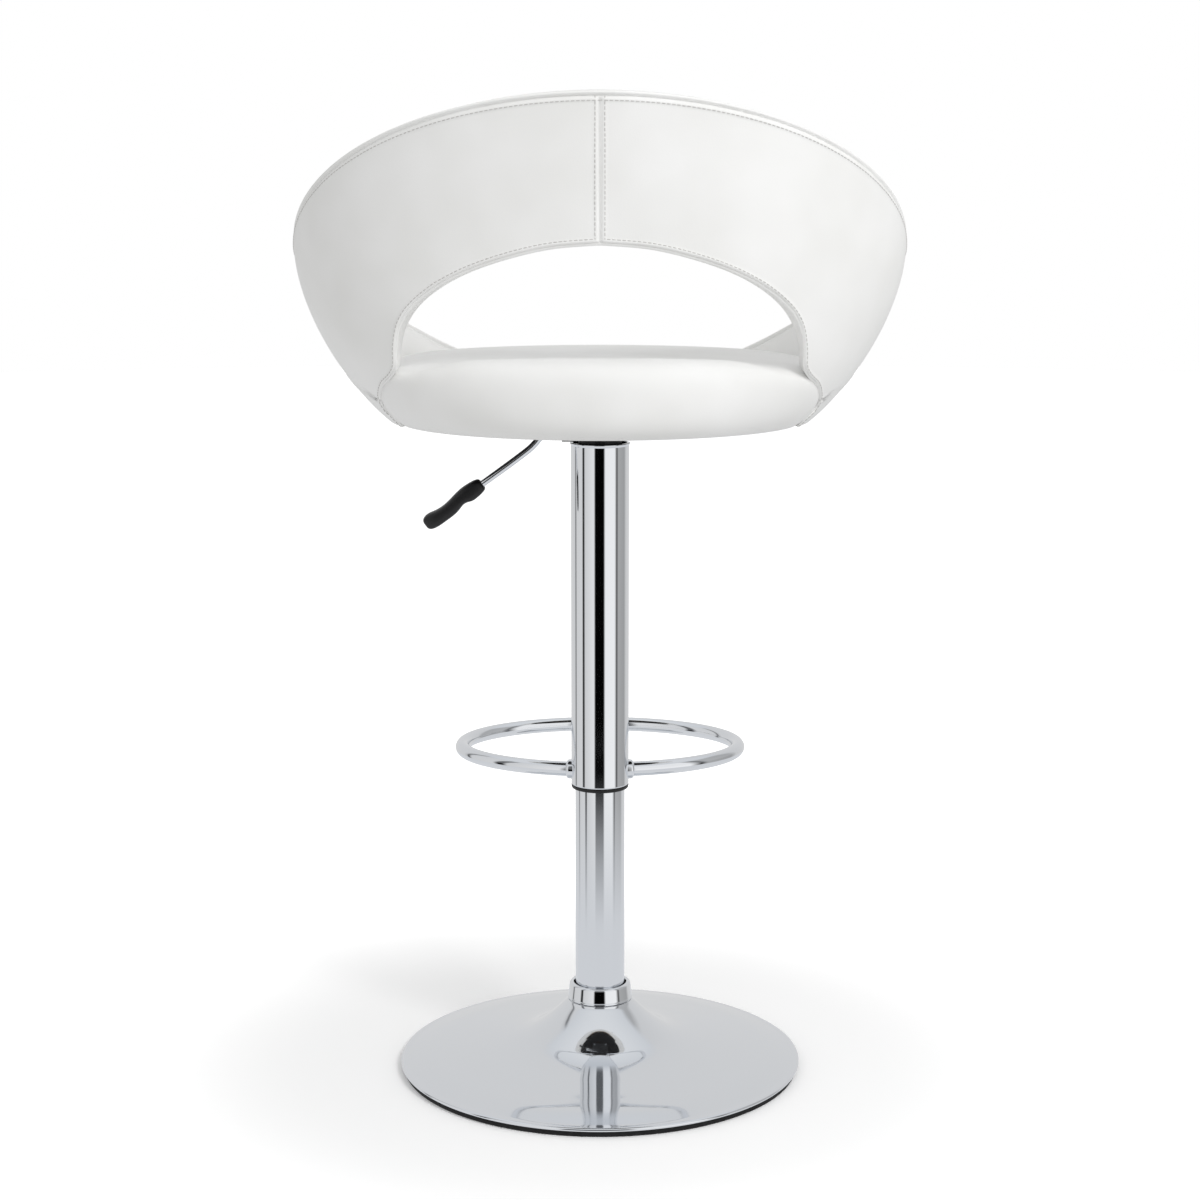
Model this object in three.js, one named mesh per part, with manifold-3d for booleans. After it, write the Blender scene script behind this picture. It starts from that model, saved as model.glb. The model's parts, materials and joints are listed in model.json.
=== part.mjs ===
// Height-adjustable swivel stool with a wrap-round upholstered back, a chrome column and a round base.
// Millimetres, +Z up. The origin is the middle of the base's underside. The sitter faces -Y.
import * as THREE from "three";
import { mergeVertices } from "three/addons/utils/BufferGeometryUtils.js";
import Module from "manifold-3d";

const wasm = await Module();
wasm.setup();

// ---------------------------------------------------------------- driving dimensions
const GAP = 0.3; // clearance kept between pieces that touch
const LAYER_GAP = 0.8; // clearance between the curved layers of the seat and back
const SLIDE_GAP = 0.35; // radial clearance of sliding and turning fits
const LIFT_TRAVEL = 200; // stroke of the gas spring; the model stands fully raised

const INNER_TUBE_RADIUS = 25;
const INNER_TUBE_WALL = 2;
const OUTER_TUBE_WALL = 2;
const BUSH_WALL = 2; // room between the two tubes
const BUSH_LIP = 4; // black bush seen below the outer tube
const BUSH_LENGTH = 30; // inside the outer tube
const GUIDE_BUSH_LENGTH = 40;
const TUBE_OVERLAP = 88; // inner tube left inside the outer one when raised
const TUBE_FLANGE = 1.2; // how far the outer tube's top edge stands out
const OUTER_TUBE_LENGTH = 347;

const BASE_RADIUS = 205;
const BASE_NECK_HEIGHT = 70; // top of the trumpet-shaped cover
const NECK_ROOM = 8; // how far the cover's neck stands off the inner tube
const COVER_WALL = 1.6;
const COVER_LIP = 20; // width of the flat edge round the cover
const PAD_THICKNESS = 5.5; // rubber pad under the base
const PAD_INSET = 3;
const BALLAST_THICKNESS = 5;
const BALLAST_INSET = 65;
const FLANGE_WIDTH = 20;
const FLANGE_THICKNESS = 6;
const FLANGE_SCREWS = 4;
const COLLAR_HEIGHT = 18;
const COLLAR_WALL_TOP = 3;
const COLLAR_WALL_BOTTOM = 7.5;
const PARKED_ROOM = 9; // between the collar and the outer tube when fully lowered

const CYLINDER_RADIUS = 14; // gas spring body
const CYLINDER_WALL = 2;
const CYLINDER_CAP = 10;
const ROD_RADIUS = 5;
const SEAL_THICKNESS = 6;
const PISTON_LENGTH = 16;
const PISTON_RAISED = 14; // between the seal's outer face and the piston, fully raised
const BEARING_RADIUS = 15;
const RACE_THICKNESS = 2.5;
const CAGE_THICKNESS = 4;
const FLOOR_THICKNESS = 5; // steel floor of the inner tube, which carries the thrust bearing
const VALVE_PIN_RADIUS = 3;
const VALVE_PIN_LENGTH = 28;
const VALVE_PLAY = 0.8; // free travel between the lever's tip and the valve pin

const SOCKET_WALL = 8;
const SOCKET_LENGTH = 46;
const HANGER_THICKNESS = 4;
const PLATE_SIZE = 150;
const PLATE_THICKNESS = 3;
const PLATE_ROOM = 14; // between the outer tube's top and the plate, where the lever passes
const SPACER_WINDOW = 84; // hole through the spacer frame
const SEAT_BOLT_SPACING = 120;
const SEAT_BOLT_RADIUS = 3;
const BOLT_HEAD = 4;
const SCREW_RADIUS = 2;
const SCREW_HEAD_RADIUS = 4;
const SCREW_HEAD = 2.5;

const LEVER_DROP = 7; // lever pivot below the mount plate
const LEVER_ROD_RADIUS = 3.5;
const EYE_RADIUS = 5; // round the pivot pin
const PIN_RADIUS = 2;
const LEVER_REACH = 96; // from the pivot out to the rod's end
const LEVER_FALL = 53.5; // from the pivot down to the rod's end
const HANDLE_LENGTH = 70;
const HANDLE_THICKNESS = 18;
const HANDLE_WIDTH = 20;

const FOOTREST_HALF_WIDTH = 145;
const FOOTREST_HALF_DEPTH = 104;
const FOOTREST_LIFT = 14; // above the outer tube's lower edge
const FOOTREST_TUBE_RADIUS = 7.5;
const FOOTREST_COLLAR = 3; // how far each weld collar reaches along the footrest tube
const COLLAR_SKIN = 2; // thickness of a weld collar

const SPACER_THICKNESS = 19;
const SKIRT_DROP = 12; // the upholstery's lowest edge below the seat board
const BOARD_THICKNESS = 12;
const BOARD_INSET = 2.5; // gap between the board's edge and the outer padding
const CUSHION_THICKNESS = 32;
const SEAT_HALF_WIDTH = 205; // cushion between the arms
const SEAT_FRONT = 205; // cushion's front edge ahead of the column
const ROLL_HEIGHT = 12; // the cushion's rear roll stands this far above the seat

const BOWL_CENTRE = 10; // the bowl's section ellipses are centred this far behind the column
const BOWL_HALF_WIDTH = 297; // widest, at the shoulder
const BOWL_FOOT_HALF_WIDTH = 189;
const SWELL_START = 1.7; // how slowly the bowl narrows just below its shoulder
const SWELL_FOOT = 0.8; // how roundly it turns in at its foot
const BOWL_REAR = 200; // reach of the outer face behind the section's centre
const BACK_LEAN = 30; // how much further back the rim reaches
const FOOT_TUCK = 12; // how far the foot's lower edge turns in behind
const FRONT_TUCK = 16; // the same at the cushion's front edge
const SHOULDER_RISE = 111; // shoulder above the seat
const RIM_RISE = 144; // the rim's middle above the shoulder, and its drop towards the arms' ends
const ARM_END_ANGLE = 143; // degrees round from the back's middle
const BACK_THICKNESS = 27;
const OUTER_PAD = 5;
const FRAME_PLY = 6;
const FRAME_INSET = 9; // the frame's window is this much wider than the padding's, all round
const FRAME_FOOT_HEIGHT = 11;
const FRAME_FOOT_WIDTH = 7; // how far the frame's foot reaches in beyond the cushion's side
const FRAME_SCREWS = 3; // on each side
const WINDOW_RISE = 121.5; // top of the window above the seat
const WINDOW_HALF_WIDTH = 193;
const WINDOW_SHOULDER_RISE = 49; // where the window's arch meets its sides, above the seat

// ---------------------------------------------------------------- places that follow from them
const BASE_NECK_RADIUS = INNER_TUBE_RADIUS + NECK_ROOM;
const FLANGE_RADIUS = INNER_TUBE_RADIUS + FLANGE_WIDTH;
const OUTER_TUBE_RADIUS = INNER_TUBE_RADIUS + BUSH_WALL + OUTER_TUBE_WALL;
const OUTER_TUBE_BOTTOM = BASE_NECK_HEIGHT + COLLAR_HEIGHT + PARKED_ROOM + LIFT_TRAVEL;
const OUTER_TUBE_TOP = OUTER_TUBE_BOTTOM + OUTER_TUBE_LENGTH;
const INNER_TUBE_TOP = OUTER_TUBE_BOTTOM + TUBE_OVERLAP;
const CYLINDER_BOTTOM = OUTER_TUBE_BOTTOM + 3;
const CYLINDER_TOP = OUTER_TUBE_TOP - 4;
const SOCKET_RADIUS = CYLINDER_RADIUS + SOCKET_WALL;
const PLATE_BOTTOM = OUTER_TUBE_TOP + PLATE_ROOM;
const LEVER_PIVOT_X = SOCKET_RADIUS + EYE_RADIUS + 1;
const LEVER_PIVOT_Z = PLATE_BOTTOM - LEVER_DROP;
const FOOTREST_HEIGHT = OUTER_TUBE_BOTTOM + FOOTREST_LIFT;
const BOARD_BOTTOM = PLATE_BOTTOM + PLATE_THICKNESS + SPACER_THICKNESS;
const BOARD_TOP = BOARD_BOTTOM + BOARD_THICKNESS;
const SKIRT_BOTTOM = BOARD_BOTTOM - SKIRT_DROP;
const SEAT_TOP = BOARD_TOP + CUSHION_THICKNESS;
const BOWL_SHOULDER = SEAT_TOP + SHOULDER_RISE;
const RIM_TOP = BOWL_SHOULDER + RIM_RISE;
const FRAME_FOOT_INNER = SEAT_HALF_WIDTH - FRAME_FOOT_WIDTH;
const WINDOW_TOP = SEAT_TOP + WINDOW_RISE;
const WINDOW_SHOULDER = SEAT_TOP + WINDOW_SHOULDER_RISE;

// ---------------------------------------------------------------- helpers
const degrees = THREE.MathUtils.degToRad;
const finish = {
  chrome: [0xd8dbe0, 0.08, 1.0],
  steel: [0x9a9da1, 0.4, 1.0],
  blackSteel: [0x26272a, 0.5, 0.6],
  castIron: [0x3c3d40, 0.7, 0.7],
  rubber: [0x141414, 0.85, 0.0],
  plastic: [0x18181a, 0.5, 0.0],
  plywood: [0xc9a878, 0.7, 0.0],
  leather: [0xf2f2f1, 0.5, 0.0],
  dustCloth: [0x1c1c1d, 0.95, 0.0],
};
const stool = new THREE.Group();

function add(name, shape, [color, roughness, metalness]) {
  const geometry = shape.isBufferGeometry ? shape : geometryOf(shape);
  const material = new THREE.MeshStandardMaterial({ color, roughness, metalness });
  const mesh = new THREE.Mesh(geometry, material);
  mesh.name = name;
  stool.add(mesh);
}

// A closed geometry as a manifold solid, with its faces turned outwards.
function solid(geometry) {
  const bare = geometry.index ? geometry.toNonIndexed() : geometry.clone();
  bare.deleteAttribute("normal");
  bare.deleteAttribute("uv");
  const merged = mergeVertices(bare, 1e-3);
  const corners = merged.index.array;
  const triVerts = [];
  for (let i = 0; i < corners.length; i += 3) {
    const [a, b, c] = corners.slice(i, i + 3);
    if (a !== b && b !== c && c !== a) triVerts.push(a, b, c);
  }
  const build = (order) =>
    new wasm.Manifold(
      new wasm.Mesh({
        numProp: 3,
        vertProperties: merged.attributes.position.array,
        triVerts: new Uint32Array(order),
      }),
    );
  const made = build(triVerts);
  return made.volume() > 0 ? made : build(triVerts.reverse());
}

function geometryOf(manifold) {
  const { vertProperties, triVerts } = manifold.getMesh();
  const geometry = new THREE.BufferGeometry();
  geometry.setAttribute("position", new THREE.BufferAttribute(new Float32Array(vertProperties), 3));
  geometry.setIndex(new THREE.BufferAttribute(new Uint32Array(triVerts), 1));
  geometry.computeVertexNormals();
  return geometry;
}

// A solid turned about the Z axis from [radius, height] points.
function turned(profile, segments = 28) {
  const points = profile.map(([r, z]) => new THREE.Vector2(r, z));
  return solid(new THREE.LatheGeometry(points, segments).rotateX(Math.PI / 2));
}

function ring(inner, outer, bottom, top, segments = 28) {
  return turned([[inner, bottom], [outer, bottom], [outer, top], [inner, top], [inner, bottom]], segments);
}

function disc(radius, bottom, top, segments = 28) {
  return turned([[0, bottom], [radius, bottom], [radius, top], [0, top]], segments);
}

// A bolt along Z, from its tip to the head's near face. The head is above the shank, or below it.
function bolt(shank, headRadius, tip, headAt, headHeight, headAbove = true, sides = 12) {
  const far = headAbove ? headAt + headHeight : headAt - headHeight;
  const profile = [[0, tip], [shank, tip], [shank, headAt], [headRadius, headAt], [headRadius, far], [0, far]];
  return turned(headAbove ? profile : profile.reverse(), sides);
}

function block(sizeX, sizeY, sizeZ, x, y, z) {
  return solid(new THREE.BoxGeometry(sizeX, sizeY, sizeZ).translate(x, y, z));
}

// Everything above a height, or everything below it.
const FAR = 1000;
function above(z) {
  return block(FAR, FAR, FAR, 0, 0, z + FAR / 2);
}

function below(z) {
  return block(FAR, FAR, FAR, 0, 0, z - FAR / 2);
}

function circle(radius, sides) {
  const points = [];
  for (let i = 0; i < sides; i++) {
    const a = (2 * Math.PI * i) / sides;
    points.push(new THREE.Vector2(radius * Math.cos(a), radius * Math.sin(a)));
  }
  return new THREE.Shape(points);
}

function rodAlong(curve, radius, steps, sides) {
  return solid(new THREE.ExtrudeGeometry(circle(radius, sides), { steps, extrudePath: curve }));
}

function splineThrough(points) {
  return new THREE.CatmullRomCurve3(points.map((p) => new THREE.Vector3(...p)));
}

// ---------------------------------------------------------------- bowl surface
// Half-width of the bowl's outer face at a height: it swells from its foot to the shoulder.
function bowlHalfWidth(z) {
  const below = THREE.MathUtils.clamp((BOWL_SHOULDER - z) / (BOWL_SHOULDER - SKIRT_BOTTOM + 10), 0, 1);
  const swell = Math.pow(1 - Math.pow(below, SWELL_START), SWELL_FOOT);
  return BOWL_FOOT_HALF_WIDTH + (BOWL_HALF_WIDTH - BOWL_FOOT_HALF_WIDTH) * swell;
}

// Reach of the outer face behind the section's centre: a quick curve at the foot, then a slow lean.
function bowlRear(z) {
  const up = z - SKIRT_BOTTOM;
  const lean = BACK_LEAN * Math.pow(Math.max(0, up) / (RIM_TOP - SKIRT_BOTTOM), 1.6);
  return BOWL_REAR - FOOT_TUCK * Math.exp(-up / 12) + lean;
}

function bowlFront(z) {
  return SEAT_FRONT + BOWL_CENTRE - FRONT_TUCK * Math.exp(-(z - SKIRT_BOTTOM) / 14);
}

function rimHeight(angle) {
  return BOWL_SHOULDER + RIM_RISE * Math.cos(angle);
}

// A point of the bowl at an angle from the back's middle, a height, and a depth below the outer face.
function bowlPoint(angle, z, depth) {
  const reach = Math.cos(angle) > 0 ? bowlRear(z) : bowlFront(z);
  const width = bowlHalfWidth(z) - depth;
  return [width * Math.sin(angle), BOWL_CENTRE + (reach - depth) * Math.cos(angle), z];
}

// Depth below the outer face that brings a wall's inner face to a half-width at the sides. Towards the
// back and the arms' ends it thins to the back's own thickness.
function depthTo(halfWidth, angle, z) {
  const full = Math.max(0, bowlHalfWidth(z) - halfWidth - BACK_THICKNESS);
  return BACK_THICKNESS + full * Math.sin(angle) ** 2;
}

// Depth of the padding's inner face: the arms thicken downwards to meet the seat.
function innerDepth(angle, z) {
  const down = THREE.MathUtils.clamp((BOWL_SHOULDER - z) / (BOWL_SHOULDER - SEAT_TOP), 0, 1);
  return BACK_THICKNESS + (depthTo(SEAT_HALF_WIDTH, angle, z) - BACK_THICKNESS) * down * down;
}

// A closed wall between two depths of the bowl, cut off below a height. Every wall has the same grid, so
// that neighbouring layers keep their gap. It may stop short of the rim and reach past the arms' ends.
const WALL_COLUMNS = 38;
const WALL_ROWS = 5;
function bowlWall({ outer, inner, bottom, rimDrop = 0, pastEnds = 0 }) {
  const across = WALL_COLUMNS;
  const rows = WALL_ROWS;
  const end = degrees(ARM_END_ANGLE);
  const vertices = [];
  const index = [];
  const per = rows + 1;
  for (let i = 0; i <= across; i++) {
    const angle = -end + (2 * end * i) / across;
    const extra = degrees(pastEnds) * (i === 0 ? -1 : i === across ? 1 : 0);
    for (const face of [outer, inner]) {
      for (let j = 0; j <= rows; j++) {
        const top = rimHeight(angle) - (j === rows ? rimDrop : 0);
        const z = SKIRT_BOTTOM + (top - SKIRT_BOTTOM) * Math.pow(j / rows, 1.25);
        vertices.push(...bowlPoint(angle + extra, z, face(angle, z)));
      }
    }
  }
  const at = (i, face, j) => (i * 2 + face) * per + j;
  const quad = (a, b, c, d) => index.push(a, b, c, a, c, d);
  for (let i = 0; i < across; i++) {
    for (let j = 0; j < rows; j++) {
      quad(at(i, 0, j), at(i, 0, j + 1), at(i + 1, 0, j + 1), at(i + 1, 0, j));
      quad(at(i, 1, j), at(i + 1, 1, j), at(i + 1, 1, j + 1), at(i, 1, j + 1));
    }
    quad(at(i, 0, 0), at(i + 1, 0, 0), at(i + 1, 1, 0), at(i, 1, 0));
    quad(at(i, 0, rows), at(i, 1, rows), at(i + 1, 1, rows), at(i + 1, 0, rows));
  }
  for (let j = 0; j < rows; j++) {
    quad(at(0, 0, j), at(0, 1, j), at(0, 1, j + 1), at(0, 0, j + 1));
    quad(at(across, 0, j), at(across, 0, j + 1), at(across, 1, j + 1), at(across, 1, j));
  }
  const geometry = new THREE.BufferGeometry();
  geometry.setAttribute("position", new THREE.Float32BufferAttribute(vertices, 3));
  geometry.setIndex(index);
  return solid(geometry).intersect(above(bottom));
}

// The window's outline from behind, as a prism that runs through the back only. Its arch is two curves
// on each side, from the sill to the haunch and from the haunch to the crown.
const WINDOW_HAUNCH = 0.77; // share of the half-width
const WINDOW_CROWN = 0.48;
function windowPrism(shrink) {
  const half = WINDOW_HALF_WIDTH - shrink;
  const top = WINDOW_TOP - shrink;
  const sill = WINDOW_SHOULDER - 30;
  const haunch = WINDOW_SHOULDER + 38;
  const reach = BOWL_CENTRE + BOWL_REAR * 2;
  const shape = new THREE.Shape();
  shape.moveTo(-half + 2, SKIRT_BOTTOM - 20);
  shape.lineTo(-half, sill);
  shape.quadraticCurveTo(-half + 1, WINDOW_SHOULDER + 6, -half * WINDOW_HAUNCH, haunch);
  shape.quadraticCurveTo(-half * WINDOW_CROWN, top - 2, 0, top);
  shape.quadraticCurveTo(half * WINDOW_CROWN, top - 2, half * WINDOW_HAUNCH, haunch);
  shape.quadraticCurveTo(half - 1, WINDOW_SHOULDER + 6, half, sill);
  shape.lineTo(half - 2, SKIRT_BOTTOM - 20);
  const prism = new THREE.ExtrudeGeometry(shape, { depth: reach, bevelEnabled: false, curveSegments: 8 });
  return solid(prism.rotateX(Math.PI / 2).translate(0, reach, 0));
}

// A closed solid through rings of points, with a single point at each end.
function loft(rings) {
  const count = rings[0].length;
  const vertices = [];
  const index = [];
  for (const r of rings) for (const p of r) vertices.push(...p);
  const centreOf = (r) => [0, 1, 2].map((k) => r.reduce((sum, p) => sum + p[k], 0) / count);
  vertices.push(...centreOf(rings[0]), ...centreOf(rings[rings.length - 1]));
  const first = rings.length * count;
  for (let i = 0; i < count; i++) {
    const n = (i + 1) % count;
    for (let j = 0; j + 1 < rings.length; j++) {
      const [a, b, c, d] = [j * count + i, j * count + n, (j + 1) * count + n, (j + 1) * count + i];
      index.push(a, b, c, a, c, d);
    }
    const last = (rings.length - 1) * count;
    index.push(first, n, i, first + 1, last + i, last + n);
  }
  const geometry = new THREE.BufferGeometry();
  geometry.setAttribute("position", new THREE.Float32BufferAttribute(vertices, 3));
  geometry.setIndex(index);
  return solid(geometry);
}

// A flat slab of one outline between two heights.
function slab(outline, bottom, top) {
  return loft([bottom, top].map((z) => outline.map(([x, y]) => [x, y, z])));
}

// A ring of points round the bowl, a depth inside its outer face. The height may vary with the angle.
function bowlRing(z, depth, lift = () => 0, count = 48) {
  const points = [];
  for (let i = 0; i < count; i++) {
    const angle = (2 * Math.PI * i) / count;
    const [x, y] = bowlPoint(angle, z, depth);
    points.push([x, y, z + lift(angle)]);
  }
  return points;
}

// ---------------------------------------------------------------- base
// The cover's outer profile: a rolled edge, a flat lip, then a sweep up into the neck. Each point of the
// sweep has its share of the way out from the neck and its share of the rise to the neck.
const COVER_SWEEP = [[0.826, 0.078], [0.68, 0.143], [0.535, 0.206], [0.419, 0.255], [0.32, 0.304],
  [0.215, 0.401], [0.157, 0.494], [0.128, 0.562], [0.081, 0.696], [0.029, 0.882]];

function coverOuter() {
  const lipTop = PAD_THICKNESS + 5.2;
  return [
    [BASE_RADIUS - 1, PAD_THICKNESS + GAP], [BASE_RADIUS, PAD_THICKNESS + 1.4],
    [BASE_RADIUS - 2, PAD_THICKNESS + 3.2], [BASE_RADIUS - COVER_LIP, lipTop],
    ...COVER_SWEEP.map(([out, up]) => [BASE_NECK_RADIUS + out * (BASE_RADIUS - BASE_NECK_RADIUS),
      lipTop + up * (BASE_NECK_HEIGHT - lipTop)]),
    [BASE_NECK_RADIUS, BASE_NECK_HEIGHT],
  ];
}

function addBase() {
  add("floor_pad", disc(BASE_RADIUS - PAD_INSET, 0, PAD_THICKNESS, 44), finish.rubber);
  const outer = coverOuter();
  const inner = outer.slice(1).map(([r, z]) => [r - COVER_WALL, z - COVER_WALL]).reverse();
  inner.pop();
  const foot = [BASE_RADIUS - 6, PAD_THICKNESS + GAP];
  add("base_cover", turned([...outer, ...inner, foot, outer[0]], 40), finish.chrome);

  const ballastBottom = PAD_THICKNESS + GAP;
  const ballastTop = ballastBottom + BALLAST_THICKNESS;
  add("ballast_plate", disc(BASE_RADIUS - BALLAST_INSET, ballastBottom, ballastTop, 36), finish.castIron);

  const flangeBottom = ballastTop + GAP;
  const flangeTop = flangeBottom + FLANGE_THICKNESS;
  const bore = INNER_TUBE_RADIUS + GAP;
  const shank = 3;
  const screwCircle = (INNER_TUBE_RADIUS + FLANGE_RADIUS) / 2;
  let flange = ring(bore, FLANGE_RADIUS, flangeBottom, flangeTop);
  for (let i = 0; i < FLANGE_SCREWS; i++) {
    const a = degrees(45 + (360 / FLANGE_SCREWS) * i);
    const at = [screwCircle * Math.cos(a), screwCircle * Math.sin(a), 0];
    flange = flange.subtract(disc(shank + GAP, 0, flangeTop + FLANGE_THICKNESS, 16).translate(at));
    const screw = bolt(shank, 5.5, flangeBottom, flangeTop + GAP, 4).translate(at);
    add(`flange_screw_${i + 1}`, screw, finish.steel);
  }
  add("column_flange", flange, finish.steel);

  const collarBottom = BASE_NECK_HEIGHT + GAP;
  const collarTop = BASE_NECK_HEIGHT + COLLAR_HEIGHT;
  add("base_collar", turned([
    [bore, collarBottom], [bore + COLLAR_WALL_BOTTOM, collarBottom],
    [bore + COLLAR_WALL_BOTTOM + 0.6, collarBottom + 3],
    [bore + COLLAR_WALL_TOP + 1.6, collarTop - 5], [bore + COLLAR_WALL_TOP, collarTop - 1],
    [bore, collarTop], [bore, collarBottom]], 36), finish.chrome);
  return flangeBottom;
}

// ---------------------------------------------------------------- fixed column
function addFixedColumn(tubeBottom) {
  const bore = INNER_TUBE_RADIUS - INNER_TUBE_WALL;
  const inside = bore - GAP;
  add("inner_tube", ring(bore, INNER_TUBE_RADIUS, tubeBottom, INNER_TUBE_TOP, 36), finish.chrome);
  const floorTop = tubeBottom + FLOOR_THICKNESS;
  const rodHole = ROD_RADIUS + 1;
  add("tube_floor", ring(rodHole, inside, tubeBottom, floorTop, 24), finish.steel);
  const raceBottom = floorTop + GAP;
  const cageBottom = raceBottom + RACE_THICKNESS + GAP;
  add("bearing_lower_race", ring(rodHole, BEARING_RADIUS, raceBottom, cageBottom - GAP, 24), finish.steel);
  add("bearing_ball_cage", ring(rodHole + 1.5, BEARING_RADIUS - 1, cageBottom, cageBottom + CAGE_THICKNESS, 24),
    finish.steel);
  add("guide_bush", ring(CYLINDER_RADIUS + SLIDE_GAP, inside, INNER_TUBE_TOP - GUIDE_BUSH_LENGTH,
    INNER_TUBE_TOP, 24), finish.plastic);
  return cageBottom + CAGE_THICKNESS + GAP;
}

// ---------------------------------------------------------------- gas spring
function addPiston(bearingTop) {
  const raceTop = bearingTop + RACE_THICKNESS;
  add("bearing_upper_race", ring(ROD_RADIUS + GAP, BEARING_RADIUS, bearingTop, raceTop, 24), finish.steel);
  const headBottom = CYLINDER_BOTTOM + PISTON_RAISED;
  const headTop = headBottom + PISTON_LENGTH;
  const shoulder = ROD_RADIUS + 4;
  const rodBottom = bearingTop - 10;
  add("piston_rod", turned([[0, rodBottom], [ROD_RADIUS, rodBottom], [ROD_RADIUS, raceTop + GAP],
    [shoulder, raceTop + GAP], [shoulder, raceTop + 5], [ROD_RADIUS, raceTop + 5],
    [ROD_RADIUS, headTop - 4], [0, headTop - 4]], 24), finish.chrome);
  const headOuter = CYLINDER_RADIUS - CYLINDER_WALL - SLIDE_GAP;
  add("piston_head", ring(ROD_RADIUS + GAP, headOuter, headBottom, headTop, 24), finish.plastic);
}

function addGasCylinder() {
  const bore = CYLINDER_RADIUS - CYLINDER_WALL;
  const sealTop = CYLINDER_BOTTOM + SEAL_THICKNESS;
  const pinHole = VALVE_PIN_RADIUS + SLIDE_GAP;
  const capBottom = CYLINDER_TOP - CYLINDER_CAP;
  add("gas_cylinder", turned([
    [bore, CYLINDER_BOTTOM], [CYLINDER_RADIUS, CYLINDER_BOTTOM], [CYLINDER_RADIUS, CYLINDER_TOP],
    [pinHole, CYLINDER_TOP], [pinHole, capBottom], [bore, capBottom], [bore, CYLINDER_BOTTOM]], 28),
    finish.blackSteel);
  add("rod_seal", ring(ROD_RADIUS + SLIDE_GAP, bore - GAP, CYLINDER_BOTTOM, sealTop, 24), finish.rubber);
  const pinTop = LEVER_PIVOT_Z - LEVER_ROD_RADIUS - VALVE_PLAY;
  add("valve_pin", disc(VALVE_PIN_RADIUS, pinTop - VALVE_PIN_LENGTH, pinTop, 16), finish.steel);
}

// ---------------------------------------------------------------- lifting column
function addLiftingColumn() {
  const bore = OUTER_TUBE_RADIUS - OUTER_TUBE_WALL;
  const lip = OUTER_TUBE_RADIUS + TUBE_FLANGE;
  add("outer_tube", turned([
    [bore, OUTER_TUBE_BOTTOM], [OUTER_TUBE_RADIUS, OUTER_TUBE_BOTTOM],
    [OUTER_TUBE_RADIUS, OUTER_TUBE_TOP - 4], [lip, OUTER_TUBE_TOP - 3], [lip, OUTER_TUBE_TOP],
    [bore, OUTER_TUBE_TOP], [bore, OUTER_TUBE_BOTTOM]], 40), finish.chrome);
  const slide = INNER_TUBE_RADIUS + SLIDE_GAP;
  const lipBottom = OUTER_TUBE_BOTTOM - BUSH_LIP;
  const bushTop = OUTER_TUBE_BOTTOM + BUSH_LENGTH;
  add("lower_bush", turned([
    [slide, lipBottom], [OUTER_TUBE_RADIUS - 1, lipBottom], [OUTER_TUBE_RADIUS, lipBottom + 1.2],
    [OUTER_TUBE_RADIUS, OUTER_TUBE_BOTTOM - GAP], [bore - GAP, OUTER_TUBE_BOTTOM - GAP],
    [bore - GAP, bushTop], [slide, bushTop], [slide, lipBottom]], 32), finish.plastic);
  const socketTop = PLATE_BOTTOM - GAP;
  const socketBottom = socketTop - SOCKET_LENGTH;
  const hangerTop = socketBottom - GAP;
  add("hanger_plate", ring(CYLINDER_RADIUS + GAP, bore - GAP, hangerTop - HANGER_THICKNESS, hangerTop, 32),
    finish.steel);
  const slotWidth = 2 * LEVER_ROD_RADIUS + 3;
  const slotHeight = 30;
  const slotFloor = LEVER_PIVOT_Z - LEVER_ROD_RADIUS - 5;
  const slot = block(slotHeight, slotWidth, slotHeight, SOCKET_RADIUS, 0, slotFloor + slotHeight / 2);
  add("taper_socket", ring(CYLINDER_RADIUS + GAP, SOCKET_RADIUS, socketBottom, socketTop, 28).subtract(slot),
    finish.blackSteel);
}

// ---------------------------------------------------------------- footrest
class FootrestArc extends THREE.Curve {
  constructor(side, from, to) {
    super();
    Object.assign(this, { side, from, to });
  }
  getPoint(t, target = new THREE.Vector3()) {
    const a = this.from + (this.to - this.from) * t;
    return target.set(this.side * FOOTREST_HALF_WIDTH * Math.sin(a),
      -FOOTREST_HALF_DEPTH + FOOTREST_HALF_DEPTH * Math.cos(a), FOOTREST_HEIGHT);
  }
}

function addFootrest() {
  const tall = 4 * FOOTREST_TUBE_RADIUS;
  const column = disc(OUTER_TUBE_RADIUS + GAP, FOOTREST_HEIGHT - tall, FOOTREST_HEIGHT + tall, 40);
  const start = Math.asin((OUTER_TUBE_RADIUS - 3) / FOOTREST_HALF_WIDTH);
  const loop = rodAlong(new FootrestArc(1, start, 2 * Math.PI - start), FOOTREST_TUBE_RADIUS, 40, 12);
  add("footrest_ring", loop.subtract(column), finish.chrome);
  const reach = Math.asin((OUTER_TUBE_RADIUS + FOOTREST_COLLAR) / FOOTREST_HALF_WIDTH);
  const bore = FOOTREST_TUBE_RADIUS + 2 * GAP;
  const past = 0.05; // radians that the bore runs past each end
  for (const [name, side] of [["left", 1], ["right", -1]]) {
    const sleeve = rodAlong(new FootrestArc(side, start, reach), FOOTREST_TUBE_RADIUS + COLLAR_SKIN, 2, 14);
    const hole = rodAlong(new FootrestArc(side, start - past, reach + past), bore, 3, 14);
    add(`footrest_collar_${name}`, sleeve.subtract(hole).subtract(column), finish.chrome);
  }
}

// ---------------------------------------------------------------- seat mounting and lever
function seatBolts() {
  const half = SEAT_BOLT_SPACING / 2;
  return [[-half, half, 0], [half, half, 0], [-half, -half, 0], [half, -half, 0]];
}

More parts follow.
